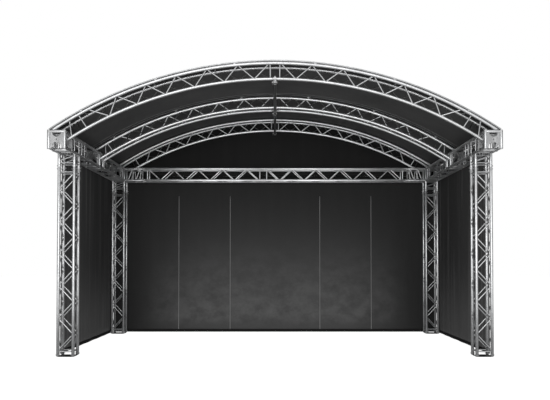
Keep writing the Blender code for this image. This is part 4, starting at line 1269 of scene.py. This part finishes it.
def add_fork(bm, reach, bolt, low, high, tip):
    """Lug with an open slot for the swing bolt: a web and two prongs."""
    start = reach - CLAMP_WALL / 2
    web_end = bolt - BOLT_SLOT / 2
    merge(bm, block((-LUG_W / 2, start, low), (LUG_W / 2, web_end, high), WEB_RIM))
    for side in (-1, 1):
        inner = side * BOLT_SLOT / 2
        outer = side * LUG_W / 2
        prong_high = (max(inner, outer), bolt + tip, high)
        merge(bm, block((min(inner, outer), start, low), prong_high, CLAMP_RIM))


def clamp_cap(tube_d):
    """Outer half of a clamp, hinged at -Y and forked at +Y."""
    reach, bolt = clamp_sizes(tube_d)
    bm = half_ring(tube_d / 2, reach, CLAMP_W, CLAMP_RIM)
    add_fork(bm, reach, bolt, SEAT / 2, LUG_H, LUG_PAST_BOLT)
    leaf_high = (LUG_W / 2, CLAMP_WALL / 2 - reach, LEAF_T)
    merge(bm, block((-LUG_W / 2, -reach - HINGE_D, SEAT / 2), leaf_high, LEAF_RIM))
    return bm


def clamp_saddle(tube_d):
    """Inner half of a clamp, with its hinge barrel and the ears that hold the cross-head."""
    reach, bolt = clamp_sizes(tube_d)
    bm = half_ring(tube_d / 2, reach, CLAMP_W, CLAMP_RIM)
    add_fork(bm, reach, bolt, SEAT / 2, 2 * HEAD_DROP, HEAD_DROP)
    barrel = bmesh.new()
    back = -reach - HINGE_D / 4
    height = SEAT / 2 + HINGE_D / 2
    rod(barrel, (-LUG_W / 2, back, height), (LUG_W / 2, back, height), HINGE_D, 16)
    merge(bm, barrel)
    return bm


def shaded_lugs(bm, tube_d):
    """Mark what stands out beside a clamp's ring for painted shade."""
    marked(bm, "shade", 0.0)
    mark = bm.verts.layers.float["shade"]
    reach, _ = clamp_sizes(tube_d)
    for vert in bm.verts:
        if abs(vert.co.y) > reach:
            vert[mark] = 1.0
    return bm


def swing_bolt():
    """Swing bolt along local Z with its nut and threaded tail; cross-head on local X."""
    bm = bmesh.new()
    top = NUT_SEAT + NUT_H + BOLT_TAIL
    rod(bm, (0, 0, 0), (0, 0, top), BOLT_D, 16)
    head = bmesh.new()
    rod(head, (-HEAD_L / 2, 0, 0), (HEAD_L / 2, 0, 0), HINGE_D, 16)
    merge(bm, head)
    for turn in range(THREAD_TURNS):
        level = NUT_SEAT + NUT_H + BOLT_TAIL * (turn + 0.5) / THREAD_TURNS
        merge(bm, ring(BOLT_D / 2, THREAD_RIDGE_R, 14, 4), Matrix.Translation((0, 0, level)))
    nut = bmesh.new()
    rod(nut, (0, 0, NUT_SEAT), (0, 0, NUT_SEAT + NUT_H), NUT_AF / math.cos(math.pi / 6), 6)
    soften(nut, NUT_RIM, 50)
    merge(bm, nut)
    return bm


def stand_steel(name, shape, place, finish, node, body="roof"):
    """Stand one piece of a coupler, turned into its place."""
    bm = bmesh.new()
    merge(bm, shape, place)
    stand(name, bm, finish, body, [node])


def build_couplers():
    half = ARCH_SIDE / 2
    chord_bore = CHORD_D + 2 * SEAT
    pipe_bore = PIPE_D + 2 * SEAT
    half_turn = Matrix.Rotation(math.pi, 4, "Y")
    places = {"front": FRONT_Y, "mid_front": MID_Y - half, "mid_rear": MID_Y + half, "rear": REAR_Y}
    bolts = (("arch", ZINC, Matrix.Rotation(math.pi, 4, "Z")),
             ("pipe", SHADED_ZINC,
              Matrix.Rotation(-math.pi / 2, 4, "Z") @ Matrix.Rotation(math.pi, 4, "X")))
    for word, y in places.items():
        arch_at = Matrix.Translation((0, y, CROWN_LOW_Z)) @ Matrix.Rotation(math.pi, 4, "Z")
        pipe_at = Matrix.Translation((0, y, PIPE_Z)) @ Matrix.Rotation(math.pi / 2, 4, "Z")
        stem_low = (-CLAMP_W / 2, y - CLAMP_W / 2, PIPE_Z + pipe_bore / 2 + STEM_GAP)
        stem_high = (CLAMP_W / 2, y + CLAMP_W / 2, CROWN_LOW_Z - chord_bore / 2 - STEM_GAP)
        body = bmesh.new()
        merge(body, clamp_saddle(chord_bore), arch_at @ half_turn)
        merge(body, shaded_lugs(clamp_saddle(pipe_bore), pipe_bore), pipe_at)
        merge(body, block(stem_low, stem_high, STEM_RIM))
        stand(f"clamp_body_{word}", body, ZINC, instead_of=[f"coupler_{word}"])
        stand_steel(f"clamp_cap_arch_{word}", clamp_cap(chord_bore), arch_at, ZINC,
                    f"arch_cap_{word}")
        stand_steel(f"clamp_cap_pipe_{word}", shaded_lugs(clamp_cap(pipe_bore), pipe_bore),
                    pipe_at @ half_turn, SHADED_CAP_ZINC, f"pipe_cap_{word}")
        for kind, finish, turn in bolts:
            node = f"{kind}_bolt_{word}"
            bolt_at = Matrix.Translation(hinge_point(node)) @ turn
            stand_steel(f"swing_bolt_{kind}_{word}", swing_bolt(), bolt_at, finish, node,
                        f"swing_{kind}_{word}")


def hinge_point(node):
    """Where a swing bolt's hinge lies, from its joint in the frame."""
    joint = next(joint for joint in frame["joints"] if joint["name"] == f"{node}_swing")
    return Vector(joint["pos_m"])


def build_ridge_pipe():
    """Pipe under the crowns, open at its ends save for two set-back plugs."""
    low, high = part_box("ridge_pipe")
    wall = Matrix.Translation((PIPE_D / 2 - PIPE_WALL / 2, (low.y + high.y) / 2, 0))
    bm = flat_grid(1, 1, wall @ stretch(PIPE_WALL, high.y - low.y, 1.0))
    bmesh.ops.delete(bm, geom=bm.faces[:], context="FACES_ONLY")
    bmesh.ops.spin(bm, geom=bm.edges[:], cent=(0, 0, 0), axis=(0, 1, 0), angle=FULL_TURN,
                   steps=PIPE_SIDES, use_merge=True)
    bmesh.ops.recalc_face_normals(bm, faces=bm.faces)
    soften(bm, PIPE_RIM)
    bmesh.ops.translate(bm, vec=(0, 0, PIPE_Z), verts=bm.verts)
    for end, way in ((low.y, 1), (high.y, -1)):
        plug = bmesh.new()
        face = Vector((0, end + way * PLUG_SET_BACK, PIPE_Z))
        rod(plug, face, face + Y_AXIS * (way * PLUG_DEPTH), PIPE_D - PIPE_WALL, PIPE_SIDES)
        merge(bm, plug)
    stand("ridge_tube", bm, SHADED_TUBE, instead_of=["ridge_pipe"])


def build_floor():
    """Pale floor: white to the camera. To other rays it glows, and what metal mirrors of it is
    painted light in front of the stage and painted shade under the roof.
    """
    bm = bmesh.new()
    bmesh.ops.create_grid(bm, x_segments=1, y_segments=1, size=FLOOR_REACH)
    mesh = bpy.data.meshes.new("floor")
    bm.to_mesh(mesh)
    bm.free()
    finish = Finish("floor_white", Roughness=0.9, Specular_IOR_Level=0.1, Base_Color=grey(0.50),
                    Emission_Strength=1.0)
    _, along, _ = finish.axes(finish.place())
    forward = 1.0 - along.between(FLOOR_GLOW_FROM, FLOOR_GLOW_TO)
    # Painted reflection: to glossy rays the floor glows bright in front of the stage and stays dark
    # under the roof as painted shade.
    mirrored = finish.blend(forward, grey(0.09), grey(0.95))
    glow = finish.blend(finish.ray("Glossy"), grey(0.54), mirrored)
    glow = finish.blend(finish.ray("Camera"), glow, grey(1.0))
    mesh.materials.append(finish.drive(Emission_Color=glow))
    floor = bpy.data.objects.new("floor", mesh)
    bpy.context.scene.collection.objects.link(floor)


def build_surroundings():
    """Surroundings that are white to the camera, and light the stage from the front."""
    world = bpy.data.worlds.new("white_studio")
    world.use_nodes = True
    sky = Shading(world.node_tree)
    _, depth, _ = sky.axes(sky.node("ShaderNodeTexCoord", {}, {}, "Generated"))
    cove = sky.node("ShaderNodeMapRange", {"interpolation_type": "SMOOTHSTEP"},
                    {"Value": depth, "From Min": -0.05, "From Max": -0.55,
                     "To Min": 0.012, "To Max": 0.22})
    shine = (1.0 + GLOSSY_LIFT * sky.ray("Glossy")) * cove
    lit = sky.node("ShaderNodeMapRange", {}, {"Value": sky.ray("Camera"), "To Min": shine})
    background = sky.tree.nodes["Background"]
    background.inputs["Color"].default_value = grey(1.0)
    sky.tree.links.new(lit.socket, background.inputs["Strength"])
    bpy.context.scene.world = world


def build_studio():
    """Floor, surroundings and soft lamps, and the camera at the photograph's angle."""
    build_floor()
    build_surroundings()
    for name, place, size, power in LAMPS:
        lamp = bpy.data.lights.new(name, "AREA")
        lamp.size = size
        lamp.energy = power
        holder = bpy.data.objects.new(name, lamp)
        holder.location = place
        aim = (Vector(place) - LAMP_TARGET).to_track_quat("Z", "Y")
        holder.rotation_euler = aim.to_euler()
        bpy.context.scene.collection.objects.link(holder)

    view = bpy.data.cameras.new("front_view")
    view.sensor_width = 36.0
    view.lens = CAMERA_LENS
    view.shift_y = CAMERA_SHIFT
    camera = bpy.data.objects.new("front_view", view)
    camera.location = CAMERA_PLACE
    camera.rotation_euler = (math.pi / 2 + CAMERA_TILT, 0, 0)
    bpy.context.scene.collection.objects.link(camera)
    bpy.context.scene.camera = camera
    bpy.context.scene.view_settings.view_transform = "Standard"


build_base_plates()
build_straight_trusses()
for hand, hand_word in SIDES:
    build_front_corner(hand, hand_word)
    build_mid_box(hand, hand_word)
    build_tee(hand, hand_word)
    build_rear_corner(hand, hand_word)
build_arches()
build_rails()
build_canopies()
build_gable()
build_walls()
build_ridge_pipe()
build_couplers()
build_studio()
